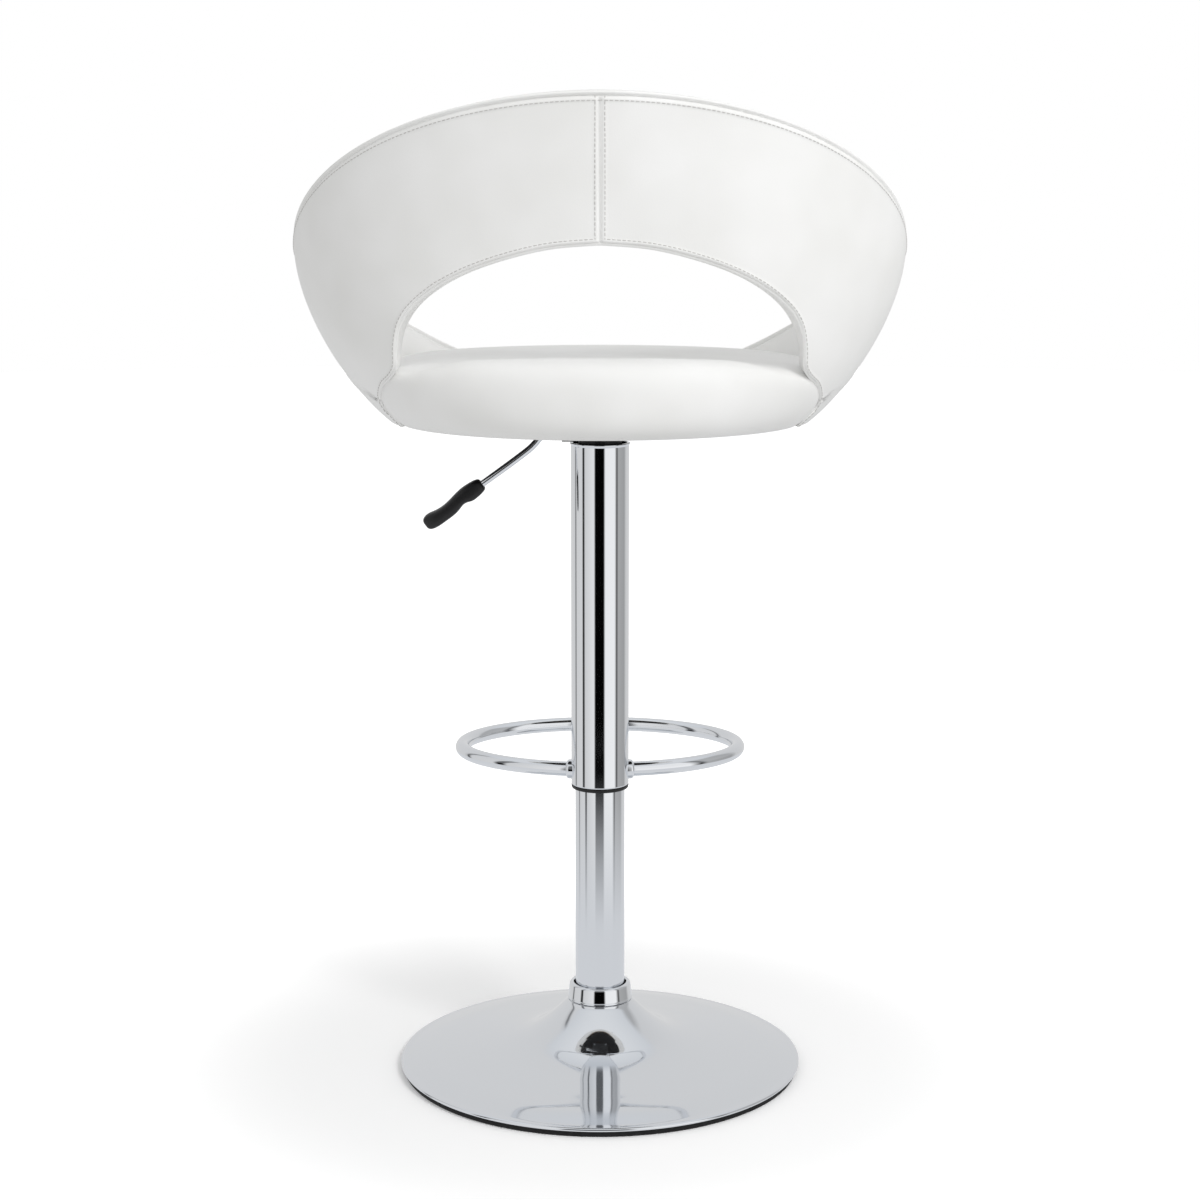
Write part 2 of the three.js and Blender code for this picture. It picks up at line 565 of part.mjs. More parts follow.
// A cylinder across the lever's pivot.
function pivotPin(radius, length) {
  return disc(radius, -length / 2, length / 2, 16).rotate([90, 0, 0]).translate([LEVER_PIVOT_X, 0, LEVER_PIVOT_Z]);
}

function addMount() {
  const plateTop = PLATE_BOTTOM + PLATE_THICKNESS;
  const spacerBottom = plateTop + GAP;
  const spacerTop = BOARD_BOTTOM - GAP;
  const spacerMiddle = (spacerBottom + spacerTop) / 2;
  let plate = block(PLATE_SIZE, PLATE_SIZE, PLATE_THICKNESS, 0, 0, (PLATE_BOTTOM + plateTop) / 2);
  let frame = block(PLATE_SIZE, PLATE_SIZE, spacerTop - spacerBottom, 0, 0, spacerMiddle)
    .subtract(block(SPACER_WINDOW, SPACER_WINDOW, SPACER_WINDOW, 0, 0, spacerMiddle));
  const headAt = PLATE_BOTTOM - GAP;
  const boltTop = BOARD_TOP - 2;
  seatBolts().forEach((at, i) => {
    const hole = disc(SEAT_BOLT_RADIUS + GAP, PLATE_BOTTOM - BOLT_HEAD, BOARD_TOP, 16).translate(at);
    plate = plate.subtract(hole);
    frame = frame.subtract(hole);
    add(`seat_bolt_${i + 1}`, bolt(SEAT_BOLT_RADIUS, 5.5, boltTop, headAt, BOLT_HEAD, false).translate(at),
      finish.steel);
    add(`tee_nut_${i + 1}`, ring(SEAT_BOLT_RADIUS + GAP, SEAT_BOLT_RADIUS + 2, BOARD_BOTTOM + 2, boltTop, 12)
      .translate(at), finish.steel);
  });
  add("mount_plate", plate, finish.blackSteel);
  add("spacer_frame", frame, finish.plywood);
  addLeverBracket();
}

// A folded bracket with two cheeks, which carries the lever's pivot pin between them.
function addLeverBracket() {
  const top = PLATE_BOTTOM - GAP;
  const bottom = OUTER_TUBE_TOP + 1.5;
  const tall = top - bottom;
  const room = 2 * (EYE_RADIUS + 1);
  const cheek = 3;
  const roof = 1.5;
  const bracket = block(14, room + 2 * cheek, tall, LEVER_PIVOT_X + 2.5, 0, (top + bottom) / 2)
    .subtract(block(room * 3, room, tall, LEVER_PIVOT_X, 0, (top + bottom) / 2 - roof))
    .subtract(pivotPin(PIN_RADIUS + GAP, room * 3));
  add("lever_bracket", bracket, finish.blackSteel);
  add("lever_pivot_pin", pivotPin(PIN_RADIUS, room + 10), finish.steel);
}

// Points of the lever rod: tip over the valve pin, past the pivot, down and out to the handle.
function leverPoints() {
  const bend = 0.29; // shares of the reach at which the rod starts to fall, and runs straight
  return [[-LEVER_PIVOT_X - 3, 0], [-LEVER_PIVOT_X / 2 - 2, 0], [0, 0], [LEVER_REACH * 0.19, -1.2],
    [LEVER_REACH * bend, -5.5], [LEVER_REACH * 0.4, -LEVER_FALL * 0.24],
    [LEVER_REACH * 0.69, -LEVER_FALL * 0.61], [LEVER_REACH, -LEVER_FALL]].map(([out, up]) => [LEVER_PIVOT_X + out, 0, LEVER_PIVOT_Z + up]);
}

// The handle's side view, drawn along the rod's last stretch from the rod's end: a ferrule end, a hollow
// for the thumb on top and a finger notch underneath.
function handleOutline() {
  const half = HANDLE_THICKNESS / 2;
  const tip = HANDLE_LENGTH - 8;
  const shape = new THREE.Shape();
  shape.moveTo(-8, -half * 0.8);
  shape.lineTo(-8, half * 0.8);
  shape.quadraticCurveTo(4, half, 12, half);
  shape.quadraticCurveTo(30, half * 0.55, tip - 14, half * 0.85);
  shape.quadraticCurveTo(tip, half, tip, 0);
  shape.quadraticCurveTo(tip, -half, tip - 12, -half);
  shape.lineTo(26, -half);
  shape.quadraticCurveTo(22, -half * 0.6, 18, -half * 0.8);
  shape.lineTo(-8, -half * 0.8);
  return shape;
}

function addLever() {
  const points = leverPoints();
  const eye = pivotPin(EYE_RADIUS, 2 * EYE_RADIUS + 1);
  const rod = rodAlong(splineThrough(points), LEVER_ROD_RADIUS, 22, 10)
    .add(eye)
    .subtract(pivotPin(PIN_RADIUS + GAP, 6 * EYE_RADIUS));
  add("lever_rod", rod, finish.chrome);

  const end = new THREE.Vector3(...points[points.length - 1]);
  const along = end.clone().sub(new THREE.Vector3(...points[points.length - 2])).normalize();
  const bevel = 3;
  const depth = HANDLE_WIDTH - 2 * bevel;
  const body = new THREE.ExtrudeGeometry(handleOutline(), { depth, bevelEnabled: true, bevelThickness: bevel,
    bevelSize: 2.5, bevelOffset: -2.5, bevelSegments: 2, curveSegments: 4 });
  body.translate(0, 0, -depth / 2).rotateX(Math.PI / 2);
  body.rotateY(Math.atan2(-along.z, along.x)).translate(end.x, end.y, end.z);
  const hole = rodAlong(splineThrough([...points.slice(-2), end.clone().addScaledVector(along, 3).toArray()]),
    LEVER_ROD_RADIUS + GAP, 6, 12);
  add("lever_handle", solid(body).subtract(hole), finish.plastic);
}

// ---------------------------------------------------------------- seat and back
const footBottom = BOARD_TOP + GAP;
const footTop = footBottom + FRAME_FOOT_HEIGHT;
const plyOuter = OUTER_PAD + LAYER_GAP;
const plyInner = plyOuter + FRAME_PLY;

// The outer padding with a gap round it, which the pieces behind it stay out of.
function outerPadRoom() {
  const inner = () => OUTER_PAD + 2 * GAP;
  return bowlWall({ outer: () => -4, inner, pastEnds: 0.4, bottom: SKIRT_BOTTOM - 5 });
}

// Where the screws that hold the back's feet go, from the rear forward on each side.
function frameScrews() {
  const places = [];
  const inset = OUTER_PAD + BOARD_INSET + SCREW_HEAD_RADIUS + 1;
  for (const [side, name] of [[1, "left"], [-1, "right"]]) {
    for (let i = 0; i < FRAME_SCREWS; i++) {
      const angle = degrees(THREE.MathUtils.lerp(96, 128, i / (FRAME_SCREWS - 1)));
      const [x, y] = bowlPoint(side * angle, BOARD_BOTTOM - SCREW_HEAD, inset);
      places.push({ name: `frame_screw_${name}_${i + 1}`, at: [x, y, 0] });
    }
  }
  return places;
}

function addBoard() {
  const edge = OUTER_PAD + BOARD_INSET;
  const outline = bowlRing(BOARD_BOTTOM, edge);
  let board = slab(outline, BOARD_BOTTOM, BOARD_TOP).subtract(outerPadRoom().subtract(windowPrism(2 * GAP)));
  const drilled = (radius, at) => disc(radius, BOARD_BOTTOM - 5, BOARD_TOP + 5, 16).translate(at);
  for (const at of seatBolts()) board = board.subtract(drilled(SEAT_BOLT_RADIUS + 2 + GAP, at));
  const headAt = BOARD_BOTTOM - GAP;
  for (const { name, at } of frameScrews()) {
    const screw = bolt(SCREW_RADIUS, SCREW_HEAD_RADIUS, footTop - 2, headAt, SCREW_HEAD, false, 8);
    add(name, screw.translate(at), finish.steel);
    board = board.subtract(drilled(SCREW_RADIUS + GAP, at));
  }
  add("seat_board", board, finish.plywood);

  const hem = 18; // how far the cloth's edge lies inside the board's
  const around = PLATE_SIZE + 2 * GAP;
  add("dust_cover", slab(bowlRing(BOARD_BOTTOM, edge + hem), headAt - 0.8, headAt)
    .subtract(block(around, around, around, 0, 0, headAt)), finish.dustCloth);
}

// The cushion fills the bowl between the arms, rolls over behind, and forms the front edge.
function addCushion() {
  const roll = (share) => (angle) => share * ROLL_HEIGHT * Math.max(0, Math.cos(angle)) ** 2;
  const middle = (bowlHalfWidth(SEAT_TOP) + bowlRear(SEAT_TOP)) / 2;
  const blank = loft([
    bowlRing(SKIRT_BOTTOM, 6), bowlRing(SKIRT_BOTTOM + 6, 1), bowlRing(BOARD_BOTTOM, 0),
    bowlRing(BOARD_TOP, 0), bowlRing(SEAT_TOP - 16, 1, roll(0.3)), bowlRing(SEAT_TOP - 5, 6, roll(0.75)),
    bowlRing(SEAT_TOP, 15, roll(0.92)), bowlRing(SEAT_TOP, 30, roll(1)), bowlRing(SEAT_TOP, 50, roll(0.8)),
    bowlRing(SEAT_TOP, 90, roll(0.2)), bowlRing(SEAT_TOP, middle * 0.7),
  ]);
  const bottom = SKIRT_BOTTOM - 5;
  const clear = { outer: () => -4, pastEnds: 0.4, bottom };
  const arms = bowlWall({ ...clear, inner: (a, z) => innerDepth(a, z) + LAYER_GAP });
  const feet = bowlWall({ ...clear, inner: (a, z) => depthTo(FRAME_FOOT_INNER, a, z) + LAYER_GAP })
    .intersect(below(footTop + GAP));
  const board = bowlRing(BOARD_BOTTOM, OUTER_PAD + BOARD_INSET - GAP);
  const recess = slab(board, BOARD_BOTTOM - 40, BOARD_TOP + GAP);
  const sides = arms.add(feet).subtract(windowPrism(2 * GAP));
  add("seat_cushion", blank.subtract(sides).subtract(recess), finish.leather);
}

function addBack() {
  const opening = windowPrism(0);
  const at = (depth) => () => depth;
  const outerPad = bowlWall({ outer: at(0), inner: at(OUTER_PAD), bottom: SKIRT_BOTTOM });
  add("back_outer_pad", outerPad.subtract(opening), finish.leather);

  const wall = bowlWall({ outer: at(plyOuter), inner: at(plyInner), bottom: footBottom, rimDrop: 3 });
  const footInner = (a, z) => depthTo(FRAME_FOOT_INNER, a, z);
  const foot = bowlWall({ outer: at(plyOuter), inner: footInner, bottom: footBottom })
    .intersect(below(footTop));
  let frame = wall.add(foot).subtract(windowPrism(-FRAME_INSET)).subtract(outerPadRoom());
  for (const { at: place } of frameScrews()) {
    frame = frame.subtract(disc(SCREW_RADIUS + GAP, footBottom - 5, footTop - 1, 10).translate(place));
  }
  add("back_frame", frame, finish.plywood);

  const innerPad = bowlWall({ outer: at(plyInner + LAYER_GAP), inner: innerDepth, bottom: footTop + GAP });
  add("back_inner_pad", innerPad.subtract(opening), finish.leather);
}

// ---------------------------------------------------------------- assembly
addPiston(addFixedColumn(addBase()));
addGasCylinder();
addLiftingColumn();
addFootrest();
addMount();
addLever();
addBoard();
addCushion();
addBack();

export default stool;
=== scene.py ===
"""Adjustable swivel stool: upholstery, chrome column, footrest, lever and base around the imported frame."""
import json
import math

import bpy
import bmesh
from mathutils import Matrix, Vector
from mathutils.bvhtree import BVHTree
from mathutils.kdtree import KDTree


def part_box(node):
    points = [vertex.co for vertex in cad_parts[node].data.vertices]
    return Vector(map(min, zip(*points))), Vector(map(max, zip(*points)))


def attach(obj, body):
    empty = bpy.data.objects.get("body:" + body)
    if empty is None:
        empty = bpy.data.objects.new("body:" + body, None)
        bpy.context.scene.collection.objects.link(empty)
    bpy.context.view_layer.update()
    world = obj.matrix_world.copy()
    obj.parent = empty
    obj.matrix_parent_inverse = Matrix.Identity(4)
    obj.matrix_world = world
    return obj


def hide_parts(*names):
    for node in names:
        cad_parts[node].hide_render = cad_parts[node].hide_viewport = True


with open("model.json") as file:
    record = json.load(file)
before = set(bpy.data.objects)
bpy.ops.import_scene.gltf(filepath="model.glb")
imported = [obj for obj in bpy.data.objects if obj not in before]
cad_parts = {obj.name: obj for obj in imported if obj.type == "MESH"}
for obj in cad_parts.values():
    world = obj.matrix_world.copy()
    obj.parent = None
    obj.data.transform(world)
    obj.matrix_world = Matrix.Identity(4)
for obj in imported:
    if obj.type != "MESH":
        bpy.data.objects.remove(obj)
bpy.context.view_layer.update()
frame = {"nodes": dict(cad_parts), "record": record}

bl_info = {
    "name": "Adjustable Swivel Stool",
    "version": (1, 0, 0),
    "blender": (4, 5, 0),
    "location": "View3D > Sidebar > Stool",
    "description": "Builds a height-adjustable swivel stool piece by piece around its frame",
    "category": "Add Mesh",
}

MM = 0.001


# ---------------------------------------------------------------- sizes from the frame
def node_box(node):
    """Lowest and highest corner of a frame node, in millimetres."""
    low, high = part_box(node)
    return [c / MM for c in low], [c / MM for c in high]


def node_radius(node):
    low, high = node_box(node)
    return (high[0] - low[0]) / 2


def node_span(node):
    low, high = node_box(node)
    return low[2], high[2]


# ---------------------------------------------------------------- colours
def hex_to_linear(text):
    """An sRGB hex colour as linear RGBA."""
    channels = [int(text[i:i + 2], 16) / 255 for i in (1, 3, 5)]
    return tuple(c / 12.92 if c <= 0.04045 else ((c + 0.055) / 1.055) ** 2.4 for c in channels) + (1.0,)


def colour_prop(label, about, value):
    start = [int(value[i:i + 2], 16) / 255 for i in (1, 3, 5)]
    return bpy.props.FloatVectorProperty(name=label, description=about, subtype="COLOR_GAMMA", size=3,
                                         min=0, max=1, default=start)


def prop_hex(colour):
    return "#" + "".join(f"{round(c * 255):02x}" for c in colour)


class StoolColours(bpy.types.PropertyGroup):
    leather: colour_prop("Leather", "Coated leather of the seat and back", "#f4f4f3")
    thread: colour_prop("Thread", "Stitching thread", "#cbcac7")
    chrome: colour_prop("Chrome", "Chrome plating", "#e9ebee")
    handle: colour_prop("Handle", "Moulded lever handle", "#161617")
    rubber: colour_prop("Rubber", "Floor pad and bush", "#0b0b0c")
    floor: colour_prop("Floor", "Studio floor", "#ffffff")


class StoolSizes(bpy.types.PropertyGroup):
    stitch_pitch: bpy.props.FloatProperty(name="Stitch pitch", description="Distance from stitch to stitch",
                                          default=4.6 * MM, unit="LENGTH", precision=4)
    stitch_width: bpy.props.FloatProperty(name="Stitch width", description="Thickness of the thread",
                                          default=0.9 * MM, unit="LENGTH", precision=4)
    seam_depth: bpy.props.FloatProperty(name="Seam depth", description="How far a seam sinks in",
                                        default=2.2 * MM, unit="LENGTH", precision=4)
    puff: bpy.props.FloatProperty(name="Puff", description="How far the padding bulges between its seams",
                                  default=2.0 * MM, unit="LENGTH", precision=4)


# ---------------------------------------------------------------- materials
def add_node(tree, kind, settings=None, links=None):
    """Adds a node, sets its attributes and sockets, and links sockets from other nodes' outputs."""
    node = tree.nodes.new(kind)
    for key, value in (settings or {}).items():
        if key in node.inputs:
            node.inputs[key].default_value = value
        else:
            setattr(node, key, value)
    for key, source in (links or {}).items():
        tree.links.new(source, node.inputs[key])
    return node


def new_material(name):
    """A material with a bare principled shader, its tree, and object-space coordinates in metres."""
    material = bpy.data.materials.new(name)
    material.use_nodes = True
    tree = material.node_tree
    shader = tree.nodes["Principled BSDF"]
    place = add_node(tree, "ShaderNodeTexCoord").outputs["Object"]
    return material, tree, shader, place


def finish_shader(tree, shader, settings, links=None):
    for key, value in settings.items():
        shader.inputs[key].default_value = value
    for key, source in (links or {}).items():
        tree.links.new(source, shader.inputs[key])


def ramp(tree, source, stops):
    """A colour ramp through (position, hex) stops."""
    node = add_node(tree, "ShaderNodeValToRGB", links={"Fac": source})
    elements = node.color_ramp.elements
    while len(elements) < len(stops):
        elements.new(0.5)
    for element, (position, colour) in zip(elements, stops):
        element.position = position
        element.color = hex_to_linear(colour)
    return node.outputs["Color"]


def grey(level):
    return f"#{round(level * 255):02x}" + f"{round(level * 255):02x}" * 2


def per_size(millimetres):
    """Texture scale, in cells per metre, of a pattern with cells of this size."""
    return 1 / (millimetres * MM)


def pu_leather(colour):
    """White PU-coated leather, embossed with a fine pebble grain: a soft sheen, brighter on each pebble."""
    material, tree, shader, place = new_material("white_pu_coated_leather")
    pebble = add_node(tree, "ShaderNodeTexVoronoi", {"feature": "SMOOTH_F1", "Scale": per_size(1.5),
                                                     "Smoothness": 0.6}, {"Vector": place})
    pores = add_node(tree, "ShaderNodeTexNoise", {"Scale": per_size(0.9), "Detail": 3.0},
                     {"Vector": place})
    drape = add_node(tree, "ShaderNodeTexNoise", {"Scale": per_size(85), "Detail": 2.0}, {"Vector": place})
    grain = add_node(tree, "ShaderNodeMath", {"operation": "ADD"})
    tree.links.new(pebble.outputs["Distance"], grain.inputs[0])
    tree.links.new(pores.outputs["Fac"], grain.inputs[1])
    soft = add_node(tree, "ShaderNodeBump", {"Strength": 0.12, "Distance": 3 * MM},
                    {"Height": drape.outputs["Fac"]})
    bump = add_node(tree, "ShaderNodeBump", {"Strength": 0.22, "Distance": 0.12 * MM},
                    {"Height": grain.outputs["Value"], "Normal": soft.outputs["Normal"]})
    r, g, b = [int(colour[i:i + 2], 16) for i in (1, 3, 5)]
    worn = f"#{max(0, r - 7):02x}{max(0, g - 7):02x}{max(0, b - 8):02x}"
    tint = ramp(tree, drape.outputs["Fac"], [(0.3, worn), (0.7, colour)])
    rough = add_node(tree, "ShaderNodeMapRange",
                     {"From Min": 0.3, "From Max": 0.8, "To Min": 0.42, "To Max": 0.54},
                     {"Value": pores.outputs["Fac"]})
    finish_shader(tree, shader, {"IOR": 1.5, "Specular IOR Level": 0.42},
                  {"Base Color": tint, "Roughness": rough.outputs["Result"],
                   "Normal": bump.outputs["Normal"]})
    return material


def sewing_thread(colour):
    """Bonded polyester thread, twisted: a fine slanting ridge along each stitch."""
    material, tree, shader, place = new_material("bonded_polyester_thread")
    twist = add_node(tree, "ShaderNodeTexWave", {"Scale": per_size(1.1), "Distortion": 0.6,
                                                 "bands_direction": "DIAGONAL"}, {"Vector": place})
    bump = add_node(tree, "ShaderNodeBump", {"Strength": 0.4, "Distance": 0.15 * MM},
                    {"Height": twist.outputs["Fac"]})
    finish_shader(tree, shader, {"Base Color": hex_to_linear(colour), "Roughness": 0.6},
                  {"Normal": bump.outputs["Normal"]})
    return material


def polished_chrome(colour):
    """Steel plated with bright chrome and buffed: a mirror with faint long polishing waviness."""
    material, tree, shader, place = new_material("polished_chrome_plate")
    haze = add_node(tree, "ShaderNodeTexNoise", {"Scale": per_size(60), "Detail": 4.0}, {"Vector": place})
    rough = add_node(tree, "ShaderNodeMapRange", {"From Min": 0.35, "From Max": 0.75, "To Min": 0.035,
                                                  "To Max": 0.075}, {"Value": haze.outputs["Fac"]})
    swirl = add_node(tree, "ShaderNodeTexNoise", {"Scale": per_size(40), "Detail": 1.0}, {"Vector": place})
    bump = add_node(tree, "ShaderNodeBump", {"Strength": 0.02, "Distance": 0.5 * MM},
                    {"Height": swirl.outputs["Fac"]})
    finish_shader(tree, shader, {"Base Color": hex_to_linear(colour), "Metallic": 1.0},
                  {"Roughness": rough.outputs["Result"], "Normal": bump.outputs["Normal"]})
    return material


def moulded_plastic(name, colour, roughness):
    """Polypropylene moulded in an etched tool: matt, with a fine spark-eroded texture."""
    material, tree, shader, place = new_material(name)
    etch = add_node(tree, "ShaderNodeTexNoise", {"Scale": per_size(0.7), "Detail": 2.0}, {"Vector": place})
    rough = add_node(tree, "ShaderNodeMapRange", {"To Min": roughness - 0.06, "To Max": roughness + 0.08},
                     {"Value": etch.outputs["Fac"]})
    bump = add_node(tree, "ShaderNodeBump", {"Strength": 0.25, "Distance": 0.1 * MM},
                    {"Height": etch.outputs["Fac"]})
    finish_shader(tree, shader, {"Base Color": hex_to_linear(colour), "IOR": 1.49},
                  {"Roughness": rough.outputs["Result"], "Normal": bump.outputs["Normal"]})
    return material


def moulded_rubber(colour):
    """EPDM rubber sheet, cut and left matt, with a dusty mottle."""
    material, tree, shader, place = new_material("black_epdm_rubber")
    mottle = add_node(tree, "ShaderNodeTexNoise", {"Scale": per_size(5), "Detail": 5.0}, {"Vector": place})
    tint = ramp(tree, mottle.outputs["Fac"], [(0.35, colour), (0.75, "#1d1d1e")])
    bump = add_node(tree, "ShaderNodeBump", {"Strength": 0.3, "Distance": 0.2 * MM},
                    {"Height": mottle.outputs["Fac"]})
    finish_shader(tree, shader, {"Roughness": 0.82, "IOR": 1.52},
                  {"Base Color": tint, "Normal": bump.outputs["Normal"]})
    return material


def powder_coat():
    """Black powder-coated pressed steel: satin, with a slight orange peel."""
    material, tree, shader, place = new_material("black_powder_coated_steel")
    peel = add_node(tree, "ShaderNodeTexNoise", {"Scale": per_size(2.2), "Detail": 1.5}, {"Vector": place})
    bump = add_node(tree, "ShaderNodeBump", {"Strength": 0.25, "Distance": 0.25 * MM},
                    {"Height": peel.outputs["Fac"]})
    tint = ramp(tree, peel.outputs["Fac"], [(0.3, "#151516"), (0.7, "#1e1e20")])
    finish_shader(tree, shader, {"Roughness": 0.42}, {"Base Color": tint, "Normal": bump.outputs["Normal"]})
    return material


def zinc_steel():
    """Bright zinc-plated steel: pale grey with a cloudy passivation and fine drawn lines."""
    material, tree, shader, place = new_material("zinc_plated_steel")
    cloud = add_node(tree, "ShaderNodeTexNoise", {"Scale": per_size(6), "Detail": 4.0}, {"Vector": place})
    tint = ramp(tree, cloud.outputs["Fac"], [(0.3, "#9ea1a6"), (0.7, "#c2c5c9")])
    rough = add_node(tree, "ShaderNodeMapRange", {"To Min": 0.24, "To Max": 0.42},
                     {"Value": cloud.outputs["Fac"]})
    finish_shader(tree, shader, {"Metallic": 1.0},
                  {"Base Color": tint, "Roughness": rough.outputs["Result"]})
    return material


def sand_cast_iron():
    """Sand-cast iron with a thin black primer: dull and pitted."""
    material, tree, shader, place = new_material("sand_cast_iron")
    sand = add_node(tree, "ShaderNodeTexNoise", {"Scale": per_size(1.6), "Detail": 6.0}, {"Vector": place})
    bump = add_node(tree, "ShaderNodeBump", {"Strength": 0.6, "Distance": 0.5 * MM},
                    {"Height": sand.outputs["Fac"]})
    tint = ramp(tree, sand.outputs["Fac"], [(0.3, "#2a2a2c"), (0.75, "#4a4a4c")])
    finish_shader(tree, shader, {"Metallic": 0.6, "Roughness": 0.65},
                  {"Base Color": tint, "Normal": bump.outputs["Normal"]})
    return material


def birch_plywood():
    """Rotary-cut birch plywood: pale face with long soft figure, thin darker plies at the edge."""
    material, tree, shader, place = new_material("birch_plywood")
    stretch = add_node(tree, "ShaderNodeMapping", {"Scale": (1.0, 0.08, 1.0)}, {"Vector": place})
    figure = add_node(tree, "ShaderNodeTexNoise", {"Scale": per_size(5), "Detail": 6.0, "Distortion": 0.6},
                      {"Vector": stretch.outputs["Vector"]})
    plies = add_node(tree, "ShaderNodeTexWave", {"Scale": per_size(1.4) / math.tau, "bands_direction": "Z"},
                     {"Vector": place})
    mixed = add_node(tree, "ShaderNodeMath", {"operation": "MULTIPLY"})
    tree.links.new(figure.outputs["Fac"], mixed.inputs[0])
    tree.links.new(plies.outputs["Fac"], mixed.inputs[1])
    tint = ramp(tree, mixed.outputs["Value"], [(0.1, "#a98557"), (0.6, "#d2b385")])
    finish_shader(tree, shader, {"Roughness": 0.65}, {"Base Color": tint})
    return material


def nonwoven_cloth():
    """Spunbonded black polypropylene under-cloth: flat fibres pressed in small diamonds."""
    material, tree, shader, place = new_material("spunbond_under_cloth")
    dots = add_node(tree, "ShaderNodeTexVoronoi", {"Scale": per_size(1.8), "Randomness": 0.15},
                    {"Vector": place})
    bump = add_node(tree, "ShaderNodeBump", {"Strength": 0.5, "Distance": 0.3 * MM},
                    {"Height": dots.outputs["Distance"]})
    tint = ramp(tree, dots.outputs["Distance"], [(0.0, "#0c0c0d"), (0.7, "#202022")])
    finish_shader(tree, shader, {"Roughness": 0.9}, {"Base Color": tint, "Normal": bump.outputs["Normal"]})
    return material


# ---------------------------------------------------------------- mesh helpers
def make_piece(name, vertices, faces, material, sharp_above=None):
    """A smooth-shaded mesh object from millimetre vertices. Faces are turned outwards."""
    mesh = bpy.data.meshes.new(name)
    mesh.from_pydata([Vector(v) * MM for v in vertices], [], faces)
    work = bmesh.new()
    work.from_mesh(mesh)
    bmesh.ops.remove_doubles(work, verts=work.verts, dist=0.005 * MM)
    bmesh.ops.recalc_face_normals(work, faces=work.faces)
    work.to_mesh(mesh)
    work.free()
    mesh.materials.append(material)
    mesh.shade_smooth()
    piece = bpy.data.objects.new(name, mesh)
    bpy.context.collection.objects.link(piece)
    if sharp_above:
        mesh.set_sharp_from_angle(angle=math.radians(sharp_above))
    return piece


SUPPORT = 0.7  # distance of the point beside each corner that keeps a long straight run's shading straight


def rounded(profile, steps=4):
    """A closed [radius, height, rounding] profile with each corner rounded by its third value."""
    points = []
    count = len(profile)
    for i, corner in enumerate(profile):
        r = corner[2]
        here = Vector(corner[:2])
        before = Vector(profile[i - 1][:2]) - here
        after = Vector(profile[(i + 1) % count][:2]) - here
        if r <= 0:
            points.append(here)
            continue
        r = min(r, before.length * 0.49, after.length * 0.49)
        start = here + before.normalized() * r
        end = here + after.normalized() * r
        if before.length > 4 * r + 2:
            points.append(start + before.normalized() * SUPPORT)
        for k in range(steps + 1):
            t = k / steps
            points.append(start * (1 - t) ** 2 + here * 2 * t * (1 - t) + end * t ** 2)
        if after.length > 4 * r + 2:
            points.append(end + after.normalized() * SUPPORT)
    return points


def lathe(name, profile, material, segments=160):
    """A closed profile turned about the column axis."""
    vertices = []
    faces = []
    count = len(profile)
    for i in range(segments):
        a = math.tau * i / segments
        vertices += [(r * math.cos(a), r * math.sin(a), z) for r, z in profile]
    for i in range(segments):
        n = (i + 1) % segments
        for j in range(count):
            m = (j + 1) % count
            faces.append((i * count + j, n * count + j, n * count + m, i * count + m))
    return make_piece(name, vertices, faces, material)


def sweep(name, path, section, material, closed=False):
    """Sections set across a path. section(i) gives the (side, up) points at path point i."""
    vertices = []
    faces = []
    up = Vector((0, 0, 1))
    last = len(path) - 1
    for i, point in enumerate(path):
        ahead = path[(i + 1) % len(path)] if closed else path[min(i + 1, last)]
        behind = path[i - 1] if closed or i else path[0]
        along = (ahead - behind).normalized()
        side = along.cross(up).normalized() if abs(along.z) < 0.98 else Vector((0, 1, 0))
        lift = side.cross(along)
        vertices += [point + side * s + lift * u for s, u in section(i)]
    count = len(section(0))
    spans = len(path) if closed else last
    for i in range(spans):
        n = (i + 1) % len(path)
        for j in range(count):
            m = (j + 1) % count
            faces.append((i * count + j, n * count + j, n * count + m, i * count + m))
    if not closed:
        faces.append(tuple(range(count)))
        faces.append(tuple(last * count + j for j in range(count)))
    return make_piece(name, vertices, faces, material, sharp_above=50)


def circle_section(radius, sides=28):
    """The (side, up) points of a round section."""
    turns = [math.tau * j / sides for j in range(sides)]
    return [(radius * math.cos(a), radius * math.sin(a)) for a in turns]


def smooth_path(points, per_span=12):
    """A Catmull-Rom curve through the points."""
    points = [Vector(p) for p in points]
    ends = [points[0] * 2 - points[1]] + points + [points[-1] * 2 - points[-2]]
    path = []
    for i in range(1, len(ends) - 2):
        a, b, c, d = ends[i - 1:i + 3]
        for k in range(per_span):
            t = k / per_span
            path.append(0.5 * (2 * b + (c - a) * t + (2 * a - 5 * b + 4 * c - d) * t ** 2
                               + (3 * b - a - 3 * c + d) * t ** 3))
    path.append(points[-1])
    return path


